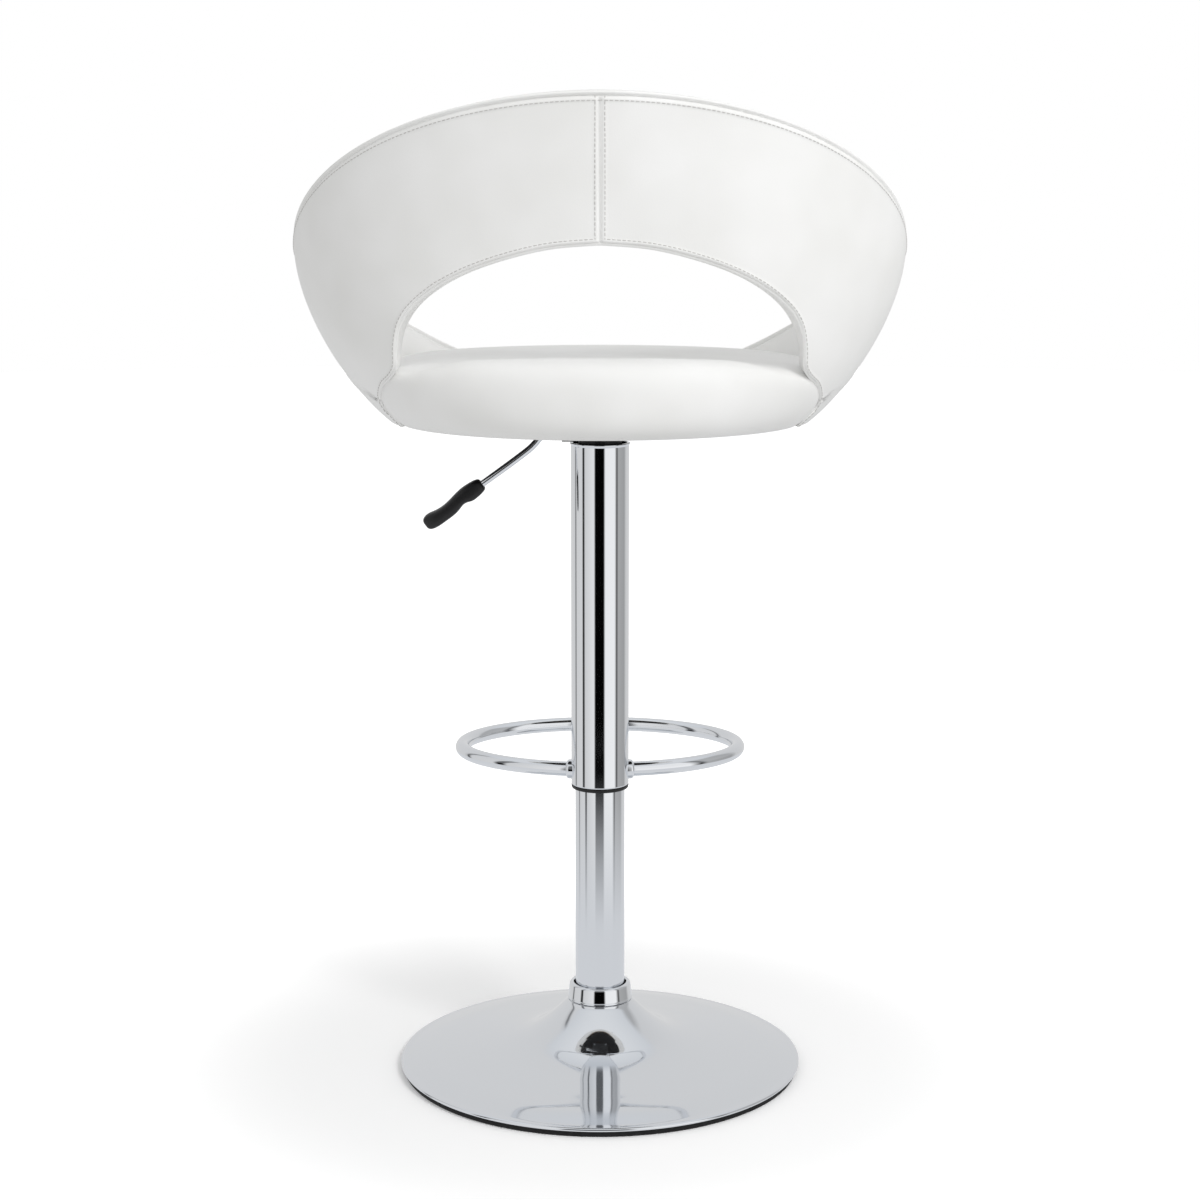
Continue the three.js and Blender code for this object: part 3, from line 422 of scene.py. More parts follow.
def place_stitches(name, rows, pitch, width, material):
    """Short rounded thread stitches laid end to end along rows of (point, normal) on a surface."""
    vertices = []
    faces = []
    ring = 6
    shape = [(-0.5, 0.35), (-0.38, 0.9), (0.0, 1.0), (0.38, 0.9), (0.5, 0.35)]
    length = pitch * 0.74
    for row in rows:
        travelled = 0.0
        target = pitch / 2
        for (a, na), (b, _) in zip(row, row[1:]):
            step = (b - a).length
            while step > 1e-6 and target <= travelled + step:
                t = (target - travelled) / step
                centre = a.lerp(b, t)
                along = (b - a) / step
                side = na.cross(along).normalized()
                base = len(vertices)
                for offset, girth in shape:
                    for j in range(ring):
                        turn = math.tau * j / ring
                        across = side * math.cos(turn) * width * 0.5 * girth
                        out = na * (math.sin(turn) * width * 0.42 * girth + width * 0.12 * (1 - abs(offset)))
                        vertices.append(centre + along * offset * length + across + out)
                for k in range(len(shape) - 1):
                    for j in range(ring):
                        m = (j + 1) % ring
                        faces.append((base + k * ring + j, base + k * ring + m,
                                      base + (k + 1) * ring + m, base + (k + 1) * ring + j))
                faces.append(tuple(base + j for j in range(ring)))
                faces.append(tuple(base + (len(shape) - 1) * ring + j for j in range(ring)))
                target += pitch
            travelled += step
    return make_piece(name, vertices, faces, material)


def settle(piece, body, slot, *nodes):
    """Says what a finished piece rides on and hides the frame nodes it stands for; its slot argument is not
    used.
    """
    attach(piece, body)
    if nodes:
        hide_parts(*nodes)
    return piece


# ---------------------------------------------------------------- the bowl's shape, in millimetres
SKIRT_BOTTOM, RIM_TOP = node_span("back_outer_pad")
RIM_RISE = 144
SHOULDER = RIM_TOP - RIM_RISE
BOWL_HALF_WIDTH = 297
FOOT_HALF_WIDTH = 189
BOWL_CENTRE = 10
SEAT_FRONT = 205
SEAT_TOP = 724
SEAT_HALF_WIDTH = 205
ROLL_HEIGHT = 9
ARM_END = math.radians(143)
BACK_THICKNESS = 27
ARCH_NARROWING = 0.03
INNER_CORNER = math.radians(63)  # where the opening's inner edge goes down behind the seat's roll

# Half of the opening's outline, seen from behind: from its top middle, round the shoulder and
# down the side of the seat's roll to the bottom edge.
WINDOW_OUTLINE = [(0, 845.5), (46, 841.5), (90, 831), (128, 817), (156, 801), (175, 784), (184.5, 767),
                  (188, 748), (189, 731), (194, 721), (203, 711.5), (207, 699), (205.5, 688.5), (199, 680.5),
                  (188, SKIRT_BOTTOM)]


def half_width(z):
    """Half the bowl's width at a height: it rounds in from the shoulder to the narrow foot."""
    below = min(max(0, (SHOULDER - z) / (SHOULDER - SKIRT_BOTTOM + 10)), 1)
    return FOOT_HALF_WIDTH + (BOWL_HALF_WIDTH - FOOT_HALF_WIDTH) * (1 - below ** 1.7) ** 0.8


def rear_reach(z):
    """How far the bowl reaches behind its centre at a height: it leans back towards the rim."""
    up = z - SKIRT_BOTTOM
    return 200 - 12 * math.exp(-up / 12) + 30 * (max(0, up) / 311) ** 1.6


def front_reach(z):
    """How far the bowl reaches ahead of its centre at a height."""
    return SEAT_FRONT + BOWL_CENTRE - 16 * math.exp(-(z - SKIRT_BOTTOM) / 14)


def rim_height(angle):
    """Height of the rim: highest at the back's middle, sloping down along the arms."""
    return SHOULDER + RIM_RISE * math.cos(angle)


def bowl_point(angle, z, depth):
    """A point of the bowl: angle from the back's middle, height, and depth below the outer face."""
    reach = rear_reach(z) if math.cos(angle) > 0 else front_reach(z)
    width = half_width(z) - depth
    return Vector((width * math.sin(angle), BOWL_CENTRE + (reach - depth) * math.cos(angle), z))


def inner_depth(angle, z):
    """Depth of the padding's inner face: the arms thicken downwards to meet the seat."""
    down = min(max((SHOULDER - z) / (SHOULDER - SEAT_TOP), 0), 1)
    full = max(0, half_width(z) - SEAT_HALF_WIDTH - BACK_THICKNESS)
    return BACK_THICKNESS + full * math.sin(angle) ** 2 * down * down


def angle_at(x, z, depth=0):
    """Angle at which the bowl has this sideways distance at a height."""
    return math.asin(max(-1, min(1, x / (half_width(z) - depth))))


def window_x(x, z, share):
    """Sideways place of the opening's edge at a share of the padding's depth: the arch narrows inwards."""
    return x * (1 - ARCH_NARROWING * share * smooth_step((z - 735) / 50))


def smooth_step(t):
    t = min(max(t, 0), 1)
    return t * t * (3 - 2 * t)


def lerp(a, b, t):
    return a + (b - a) * t


# ---------------------------------------------------------------- padding
def inflate(piece, held, pressure, cap, frames=20):
    """Swells a closed cover by cloth simulation, with its seams held, and keeps the result."""
    mesh = piece.data
    start = [v.co.copy() for v in mesh.vertices]
    group = piece.vertex_groups.new(name="held")
    group.add(held, 1.0, "REPLACE")
    cloth = piece.modifiers.new("Cloth", "CLOTH")
    cloth.settings.quality = 6
    cloth.settings.mass = 0.3
    cloth.settings.tension_stiffness = 30
    cloth.settings.compression_stiffness = 30
    cloth.settings.shear_stiffness = 12
    cloth.settings.bending_stiffness = 6
    cloth.settings.use_pressure = True
    cloth.settings.uniform_pressure_force = pressure
    cloth.settings.vertex_group_mass = "held"
    cloth.settings.effector_weights.gravity = 0
    cloth.collision_settings.use_collision = False
    cloth.point_cache.frame_end = frames
    scene = bpy.context.scene
    for number in range(1, frames + 1):
        scene.frame_set(number)
    shaped = piece.evaluated_get(bpy.context.evaluated_depsgraph_get())
    moved = [v.co.copy() for v in shaped.data.vertices]
    piece.modifiers.remove(cloth)
    piece.vertex_groups.remove(group)
    scene.frame_set(1)
    for vertex, before, after in zip(mesh.vertices, start, moved):
        step = after - before
        if step.length > cap:
            step = step.normalized() * cap
        vertex.co = before + step


def subdivide(piece, levels):
    """Applies a subdivision surface."""
    modifier = piece.modifiers.new("Subdivision", "SUBSURF")
    modifier.levels = levels
    modifier.render_levels = levels
    shaped = piece.evaluated_get(bpy.context.evaluated_depsgraph_get())
    fine = bpy.data.meshes.new_from_object(shaped)
    piece.modifiers.remove(modifier)
    old = piece.data
    piece.data = fine
    bpy.data.meshes.remove(old)
    fine.name = piece.name
    fine.shade_smooth()


def point_tree(points):
    """A lookup of the nearest of some points."""
    tree = KDTree(len(points))
    for i, point in enumerate(points):
        tree.insert(point, i)
    tree.balance()
    return tree


def surface_of(piece):
    """A lookup from a millimetre point to the nearest (point, normal) of a piece's surface."""
    mesh = piece.data
    tree = BVHTree.FromPolygons([v.co for v in mesh.vertices], [p.vertices for p in mesh.polygons])

    def nearest(point):
        place, normal, _, _ = tree.find_nearest(Vector(point) * MM)
        return place / MM, normal
    return nearest


# The swell beside a seam's groove: its place and width in groove widths, its height in groove depths.
SWELL_OFFSET = 2.4
SWELL_WIDTH = 1.1
SWELL_HEIGHT = 0.32


def sink_seams(piece, seams, depth, width):
    """Presses grooves along seams, each a list of millimetre points, into a piece's surface."""
    dense = []
    for seam in seams:
        for a, b in zip(seam, seam[1:]):
            count = max(1, math.ceil((b - a).length / 0.6))
            dense += [a.lerp(b, k / count) for k in range(count)]
    tree = point_tree(dense)
    mesh = piece.data
    normals = [v.normal.copy() for v in mesh.vertices]
    for vertex, normal in zip(mesh.vertices, normals):
        _, _, away = tree.find(vertex.co / MM)
        if away < width * 5:
            groove = math.exp(-(away / width) ** 2)
            swell = math.exp(-((away - SWELL_OFFSET * width) / (SWELL_WIDTH * width)) ** 2)
            vertex.co -= normal * (groove - SWELL_HEIGHT * swell) * depth * MM


# ---------------------------------------------------------------- the back's cover
def back_columns():
    """Columns of the back's grid on one side: lower edge point (x, z), its angle, and the rim angle."""
    outline = smooth_path([Vector((x, z, 0)) for x, z in WINDOW_OUTLINE], 8)
    total = sum((b - a).length for a, b in zip(outline, outline[1:]))
    corner_rim = math.radians(80)  # the rim's angle above the opening's lower corner
    columns = []
    travelled = 0.0
    for i, point in enumerate(outline):
        if i:
            travelled += (point - outline[i - 1]).length
        share = travelled / total
        columns.append((point.x, point.y, angle_at(point.x, point.y), corner_rim * share ** 0.94))
    low = columns[-1][2]
    steps = 18
    for k in range(1, steps + 1):
        t = k / steps
        columns.append((None, SKIRT_BOTTOM, lerp(low, ARM_END, t), lerp(corner_rim, ARM_END, t)))
    return columns


OUTER_ROWS = [0, 0.012, 0.03, 0.07, 0.14, 0.22, 0.31, 0.4, 0.5, 0.6, 0.7, 0.79, 0.87, 0.93, 0.965, 0.985]
INNER_ROWS = [0.985, 0.96, 0.9, 0.8, 0.69, 0.58, 0.47, 0.36, 0.25, 0.15, 0.07, 0.025, 0]
RIM_DEPTHS = [(0.03, -1.2), (0.16, 0), (0.36, 0.5), (0.64, 0.5), (0.84, 0), (0.97, -1.2)]
BAND_DEPTHS = [(0.94, 0.5), (0.8, 1.5), (0.5, 2.0), (0.2, 1.5), (0.06, 0.5)]


HEM_THICKNESS = 44  # most that the padding fills at the arms' lower edge, under the seat's top


def back_section(column):
    """One closed loop of the cover's grid: outer face, rim, inner face, edge band."""
    x_low, z_low, low_angle, rim_angle = column
    z_top = rim_height(rim_angle)
    at_window = x_low is not None

    def point(row, depth_share, drop=0.0):
        z = lerp(z_low, z_top, row) - drop
        thick = inner_depth(lerp(low_angle, rim_angle, row), z)
        thick = lerp(min(thick, HEM_THICKNESS), thick, smooth_step((z - 690) / 40))
        depth = thick * depth_share
        start = low_angle
        if at_window:
            start = angle_at(window_x(x_low, z_low, depth_share), z_low, depth)
            start = lerp(start, min(start, INNER_CORNER), depth_share)
        return bowl_point(lerp(start, rim_angle, row ** 0.85), z, depth)

    loop = [point(row, 0) for row in OUTER_ROWS]
    loop += [point(1, depth, -lift) for depth, lift in RIM_DEPTHS]
    loop += [point(row, 1) for row in INNER_ROWS]
    if at_window and z_low > SKIRT_BOTTOM + 1:
        middle = (loop[0] + loop[-1]) / 2
        away = (middle - (loop[4] + loop[-4]) / 2).normalized()
        loop += [point(0, depth) + away * bulge for depth, bulge in BAND_DEPTHS]
    else:
        loop += [point(0, depth) + Vector((0, 0, -bulge * 0.4)) for depth, bulge in BAND_DEPTHS]
    return loop


NOSE_LENGTH = 11
NOSE_TURNS = (30, 55, 75, 90)


def arm_nose(last, before):
    """Loops that round off an arm's front end: each closes further on the last loop's own middle."""
    noses = []
    for turn in NOSE_TURNS:
        t = math.radians(turn)
        nose = []
        for j, here in enumerate(last):
            centre = (here + last[partner_row(j)]) / 2
            ahead = (here - before[j]).normalized()
            nose.append(centre + (here - centre) * max(math.cos(t), 0.02)
                        + ahead * NOSE_LENGTH * math.sin(t))
        noses.append(nose)
    return noses


SEAM_HOLD = 6  # how far from a seam the cover is held down


def build_back_cover(material, puff):
    right = back_columns()
    columns = [(-x if x is not None else None, z, -a, -r) for x, z, a, r in reversed(right[1:])] + right
    loops = [back_section(c) for c in columns]
    loops = arm_nose(loops[0], loops[1])[::-1] + loops + arm_nose(loops[-1], loops[-2])
    count = len(loops[0])
    vertices = [p for loop in loops for p in loop]
    faces = []
    for i in range(len(loops) - 1):
        for j in range(count):
            m = (j + 1) % count
            faces.append((i * count + j, (i + 1) * count + j, (i + 1) * count + m, i * count + m))
    for end in (0, len(loops) - 1):
        for j in range(len(OUTER_ROWS) + len(RIM_DEPTHS) // 2):
            k, m = partner_row(j), partner_row(j + 1)
            if len({j, j + 1, k, m}) == 4:
                faces.append((end * count + j, end * count + j + 1, end * count + m, end * count + k))
    piece = make_piece("back_cover", vertices, faces, material)
    tree = point_tree([p for seam in back_seams().values() for line in seam for p in line])
    held = [v.index for v in piece.data.vertices
            if tree.find(v.co / MM)[2] < SEAM_HOLD or v.co.z / MM < SEAT_TOP - 6]
    inflate(piece, held, 2.0, puff)
    return piece


def partner_row(j):
    """The loop point across the padding from loop point j."""
    outer, rim, inner, band = len(OUTER_ROWS), len(RIM_DEPTHS), len(INNER_ROWS), len(BAND_DEPTHS)
    total = outer + rim + inner + band
    j %= total
    if j < outer:
        share = OUTER_ROWS[j]
        return outer + rim + min(range(inner), key=lambda k: abs(INNER_ROWS[k] - share))
    if j < outer + rim:
        return outer + rim - 1 - (j - outer)
    if j < outer + rim + inner:
        share = INNER_ROWS[j - outer - rim]
        return min(range(outer), key=lambda k: abs(OUTER_ROWS[k] - share))
    return total - 1 - (j - outer - rim - inner)


RIM_SEAM_DROP = 5  # the seam below the rim's edge


def lower_seam_height(angle):
    """Height of the seam along the arm's lower edge: it climbs forward from the seat's roll."""
    t = (math.degrees(abs(angle)) - 60) / 83
    return 692 + 62 * t - 12 * t * t - 26 * max(0, t - 0.45) ** 2


def back_seams():
    """Named seam lines on the back's cover, each a list of polylines in millimetres."""
    right = back_columns()
    window, rim = [], []
    for side in (1, -1):
        edge = [bowl_point(side * a, z, 0) for x, z, a, _ in right if x is not None]
        window.append(edge)
        angles = [side * math.radians(a) for a in range(0, 143)]
        rim.append([bowl_point(a, rim_height(a) - RIM_SEAM_DROP, 0) for a in angles])
    arch = [(window_x(x, z, 1), z, inner_depth(a, z)) for x, z, a, _ in right
            if x is not None and z > SEAT_TOP]
    inner_window = [[bowl_point(side * angle_at(x, z, deep), z, deep) for x, z, deep in arch]
                    for side in (1, -1)]
    arm = [(math.radians(a), rim_height(math.radians(a)) - RIM_SEAM_DROP) for a in range(0, 143)]
    inner_rim = [[bowl_point(side * a, z, inner_depth(a, z)) for a, z in arm] for side in (1, -1)]
    middle = [[bowl_point(0, z, 0) for z in range(847, int(RIM_TOP) - 4, 3)]]
    lower = [[bowl_point(side * math.radians(a), lower_seam_height(math.radians(a)), 0)
              for a in range(61, 138)] for side in (1, -1)]
    return {"window": window, "rim": rim, "inner_window": inner_window, "inner_rim": inner_rim,
            "middle": middle, "lower": lower}


def offset_line(line, towards, distance):
    """A seam line moved sideways on the surface, towards a direction."""
    moved = []
    for i, p in enumerate(line):
        along = (line[min(i + 1, len(line) - 1)] - line[max(i - 1, 0)]).normalized()
        step = towards(p)
        step -= along * step.dot(along)
        moved.append(p + step.normalized() * distance)
    return moved


def rows_on(piece, lines):
    """Stitch rows: each line laid on a piece's surface, with the surface's normals."""
    nearest = surface_of(piece)
    return [[nearest(p) for p in line] for line in lines]


# ---------------------------------------------------------------- the seat's cushion
SEAT_ROWS = [  # height, depth inside the bowl's face, share of the rear roll's height
    (684, 22, 0), (679, 20.5, 0), (673.5, 18, 0), (668.4, 14, 0), (665.4, 9, 0), (666.6, 4.4, 0),
    (671, 1.6, 0), (677, 0.2, 0),
    (684, -0.5, 0), (692, -0.6, 0), (700, -0.4, 0.05), (708, 0.2, 0.2), (715, 1.6, 0.42), (720.5, 4.4, 0.66),
    (724.6, 8.8, 0.84), (727.2, 14, 0.94), (728.8, 21, 1.0), (729.6, 29, 1.0), (730.2, 38, 0.93),
    (730.6, 48, 0.78), (731, 60, 0.56), (731.3, 74, 0.34), (731.6, 92, 0.16), (731.8, 114, 0.06),
    (732, 140, 0), (732, 168, 0)]


def wall_angle(z):
    """Angle at which the back's side walls stand on the seat's edge, at a height."""
    lower = [(z_low, x) for x, z_low in WINDOW_OUTLINE[6:]][::-1]
    for (z0, x0), (z1, x1) in zip(lower, lower[1:]):
        if z <= z1:
            return angle_at(lerp(x0, x1, max(0, (z - z0) / (z1 - z0))), z)
    return angle_at(lower[-1][1], z)


# The roll drops towards its ends, then the cushion tucks in: 13 mm at first, fully further round.
ROLL_END_DROP = 8
ROLL_END_ARC = math.radians(17)
TUCK_START = math.radians(2.1)
TUCK_ARC = math.radians(2.6)
TUCK_DEPTH = 13
TUCK_FULL_ARC = math.radians(14)


def seat_point(angle, z, depth, roll):
    """A point of the cushion. Beside the arms it tucks in under their padding."""
    turn = abs(math.remainder(angle, math.tau))
    lift = roll * ROLL_HEIGHT * max(0, math.cos(turn)) ** 1.2 if math.cos(turn) > 0 else 0
    lift -= ROLL_END_DROP * roll * smooth_step(1 - (wall_angle(z) - turn) / ROLL_END_ARC)
    start = wall_angle(z + lift) + TUCK_START
    behind = smooth_step((turn - start) / TUCK_ARC)
    ahead = smooth_step((ARM_END + math.radians(2.5) - turn) / math.radians(4))
    tucked = behind * ahead
    under_arm = inner_depth(turn, z) - 5
    wall = lerp(TUCK_DEPTH, under_arm, smooth_step((turn - start) / TUCK_FULL_ARC))
    depth = lerp(depth, max(depth, wall), tucked)
    place = bowl_point(turn, z, depth)
    place.x = math.copysign(place.x, math.sin(angle))
    place.z = z + lift
    return place


def build_seat_cover(material, puff):
    around = 150
    vertices = []
    for z, depth, roll in SEAT_ROWS:
        vertices += [seat_point(math.tau * i / around, z, depth, roll) for i in range(around)]
    faces = []
    rows = len(SEAT_ROWS)
    for j in range(rows - 1):
        for i in range(around):
            n = (i + 1) % around
            faces.append((j * around + i, j * around + n, (j + 1) * around + n, (j + 1) * around + i))
    for row, hub_z in ((0, SEAT_ROWS[0][0]), (rows - 1, SEAT_ROWS[-1][0])):
        ring = [vertices[row * around + i] for i in range(around)]
        hub = Vector((0, sum(p.y for p in ring) / around, hub_z))
        first = row * around
        spokes = [0.62, 0.3]
        for share in spokes:
            base = len(vertices)
            vertices += [hub + (p - hub) * share for p in ring]
            for i in range(around):
                n = (i + 1) % around
                faces.append((first + i, first + n, base + n, base + i))
            first = base
        centre = len(vertices)
        vertices.append(hub)
        faces += [(first + i, first + (i + 1) % around, centre) for i in range(around)]
    piece = make_piece("seat_cover", vertices, faces, material)
    held = [v.index for v in piece.data.vertices if seat_is_held(v.co / MM)]
    inflate(piece, held, 2.5, puff)
    return piece


def seat_is_held(point):
    """Whether a point of the cushion is stapled under the board, or lies along its side seams."""
    angle = abs(math.atan2(point.x, point.y - BOWL_CENTRE))
    edge = bowl_point(angle, 680, 8)
    inside = math.hypot(point.x, point.y - BOWL_CENTRE) < math.hypot(edge.x, edge.y - BOWL_CENTRE)
    stapled = point.z < 672 or (point.z < 690 and inside)
    return stapled or abs(angle - wall_angle(point.z)) < math.radians(2.2)


# ---------------------------------------------------------------- column
SLEEVE_RADIUS = 29
TUBE_RADIUS = 25


def build_sleeve(material):
    low, high = node_span("outer_tube")
    radius = SLEEVE_RADIUS
    bore = radius - 2
    profile = rounded([(bore, low, 0.3), (radius, low, 0.8), (radius, high - 2.4, 1.6),
                       (radius + 0.9, high - 1.1, 0.4), (radius + 0.9, high, 0.5), (bore, high, 0.3)])
    return lathe("column_sleeve", profile, material)


def build_bush(material):
    low, high = node_span("lower_bush")
    edge = node_span("outer_tube")[0]
    bore = TUBE_RADIUS + 0.4
    fit = SLEEVE_RADIUS - 2.4
    profile = rounded([(bore, low, 0.5), (28.6, low, 1.4), (SLEEVE_RADIUS, edge - 0.4, 0.3),
                       (fit, edge - 0.3, 0.1), (fit, high, 0.4), (bore, high, 0.4)])
    return lathe("column_bush", profile, material)


def build_fixed_tube(material):
    low, high = node_span("inner_tube")
    bore = TUBE_RADIUS - 2
    profile = rounded([(bore, low, 0.3), (TUBE_RADIUS, low, 0.5), (TUBE_RADIUS, high, 0.5),
                       (bore, high, 0.3)])
    return lathe("column_fixed_tube", profile, material)


# ---------------------------------------------------------------- base
def build_dish(material):
    """The spun base cover: a flat disc that sweeps up into a neck, with a rolled lip."""
    low = node_span("base_cover")[0]
    edge = node_radius("base_cover")
    top = node_span("base_cover")[1]
    sweep_points = [(edge - 6, low + 4.0), (175, 15.2), (150, 19.1), (125, 23.0), (105, 26.2),
                    (88, 29.9), (76, 34.2), (68, 38.7), (60, 44.2), (52, 50.6), (45, 57.0),
                    (38, 64), (34.6, 67.6), (33, top)]
    outer = [(p.x, p.y) for p in smooth_path([(r, z, 0) for r, z in sweep_points], 9)]
    lip = [(edge - 2.2, low), (edge - 0.9, low + 0.1), (edge - 0.15, low + 0.9), (edge, low + 1.9),
           (edge - 0.3, low + 2.8), (edge - 1.4, low + 3.5), (edge - 3.2, low + 3.85)]
    inside = [(r - 1.2, z - 1.7) for r, z in outer[::-3]]
    profile = lip + outer + [(31.6, top)] + inside[1:-2] + [(edge - 7, low + 0.2)]
    return lathe("base_dish", profile, material, segments=224)


def build_pad(material):
    low, high = node_span("floor_pad")
    radius = node_radius("floor_pad")
    profile = rounded([(0, low, 0), (radius, low, 1.2), (radius, high, 1.0), (0, high, 0)])
    return lathe("base_pad", profile, material, segments=224)


def build_collar(material):
    """A plain trim ring round the foot of the column: a stepped, softly tapered collar."""
    low, high = node_span("base_collar")
    bore = node_radius("inner_tube") + 1.5
    profile = rounded([(bore, low, 0.2), (31.4, low, 0.6), (33.2, low + 0.9, 0.7), (33.4, low + 2.2, 0.7),
                       (32.6, low + 3.2, 0.4), (31.6, high - 6, 1.5), (31.0, high - 1.6, 1.2),
                       (29.4, high, 1.0), (bore + 0.7, high, 0.6), (bore, high - 1.4, 0.6)], steps=5)
    return lathe("base_collar_trim", profile, material)


# ---------------------------------------------------------------- footrest
FOOTREST_HALF = 145  # half the loop's width, to the middle of its tube


def footrest_path(start, end, count):
    """Points along the footrest's loop, by the angle round its ellipse."""
    low, high = node_box("footrest_ring")
    tube = (high[2] - low[2]) / 2
    half_x = high[0] - tube
    half_y = -(low[1] + tube) / 2
    level = (low[2] + high[2]) / 2
    angles = [lerp(start, end, i / count) for i in range(count + 1)]
    return [Vector((half_x * math.sin(a), -half_y + half_y * math.cos(a), level)) for a in angles], tube


def build_footrest(material):
    reach = math.asin(26 / FOOTREST_HALF)
    path, tube = footrest_path(reach, math.tau - reach, 220)
    return sweep("footrest_loop", path, lambda i: circle_section(tube), material)


def build_footrest_collars(material):
    """Weld collars that carry the loop's ends on the column, each with a rolled edge."""
    made = []
    for name, side in (("left", 1), ("right", -1)):
        start, end = math.asin(26.5 / FOOTREST_HALF), math.asin(33.6 / FOOTREST_HALF)
        path, tube = footrest_path(start, end, 14)
        path = [Vector((p.x * side, p.y, p.z)) for p in path]
        girths = [tube + 2.4 - 1.9 * max(0, (i - 9) / 5) ** 2.5 for i in range(15)]
        made.append(sweep(f"footrest_weld_{name}", path, lambda i, g=girths: circle_section(g[i], 32),
                          material))
    return made


# ---------------------------------------------------------------- lever
LEVER_PIVOT_Z = 651
LEVER_POINTS = [(-3, 0, 0), (12, 0, 0), (28, 0, 0), (48, 0, 0.6), (58.5, 0, -2), (64.5, 0, -8.5),
                (72, 0, -15.5), (94, 0, -32), (124, 0, -53.5)]


def build_lever_bar(material):
    path = smooth_path([(x, y, LEVER_PIVOT_Z + z) for x, y, z in LEVER_POINTS], 10)
    return sweep("lever_bar", path, lambda i: circle_section(3.5, 24), material)


def build_lever_grip(material):
    """Moulded handle: a ferrule end, a hollow for the thumb on top and a finger notch underneath."""
    end = Vector(LEVER_POINTS[-1]) + Vector((0, 0, LEVER_PIVOT_Z))
    along = (end - Vector(LEVER_POINTS[-2]) - Vector((0, 0, LEVER_PIVOT_Z))).normalized()
    # Distance along, top height, bottom height, half-width.
    stations = [(-9, 3.9, -3.9, 4.2), (-8.6, 5.6, -5.6, 6), (-6, 7.6, -7.2, 7.6), (2, 8.6, -8.2, 8.6),
                (8, 8.8, -8.6, 9.2), (11, 8.8, -7.4, 9.4), (15, 8.4, -5.8, 9.6), (19, 7.8, -5.6, 9.8),
                (24, 6.8, -7.6, 10), (30, 5.6, -9.0, 10.2), (38, 4.9, -9.2, 10.4), (45, 5.6, -9.2, 10.4),
                (50, 7.0, -9.2, 10.2), (54, 7.6, -8.8, 9.8), (58, 7.0, -7.8, 8.8), (60.4, 5.4, -6.2, 7.2),
                (61.6, 3.0, -3.8, 4.6)]
    path = [end + along * s[0] for s in stations]

    def section(i):
        _, top, bottom, half = stations[i]
        points = []
        for j in range(36):
            a = math.tau * j / 36
            c, s = math.cos(a), math.sin(a)
            x = half * math.copysign(abs(c) ** 0.62, c)
            y = (top if s > 0 else -bottom) * math.copysign(abs(s) ** 0.62, s)
            points.append((x, y))
        return points
    piece = sweep("lever_grip", path, section, material)
    subdivide(piece, 1)
    return piece


# ---------------------------------------------------------------- under-seat cloth
def build_under_cloth(material):
    """The cloth stapled under the seat board: it dips a little between its edge and the spacer."""
    level = node_span("dust_cover")[0] - 0.2
    half, around = 75.6, 96
    rings = 8
    vertices = []
    for j in range(rings + 1):
        t = j / rings
        for i in range(around):
            a = math.tau * i / around
            outer = bowl_point(a, 680, 25)
            square = half / max(abs(math.sin(a)), abs(math.cos(a)))
            inner = Vector((square * math.sin(a), square * math.cos(a), 680))
            dip = 1.6 * math.sin(math.pi * t) * (1 + 0.35 * math.sin(9 * a))
            p = outer.lerp(inner, t)
            vertices.append(Vector((p.x, p.y, level - dip)))
    faces = [(j * around + i, j * around + (i + 1) % around, (j + 1) * around + (i + 1) % around,
              (j + 1) * around + i) for j in range(rings) for i in range(around)]
    piece = make_piece("under_cloth", vertices, faces, material)
    solid = piece.modifiers.new("Thickness", "SOLIDIFY")
    solid.thickness = 0.5 * MM
    solid.offset = 1
    return piece


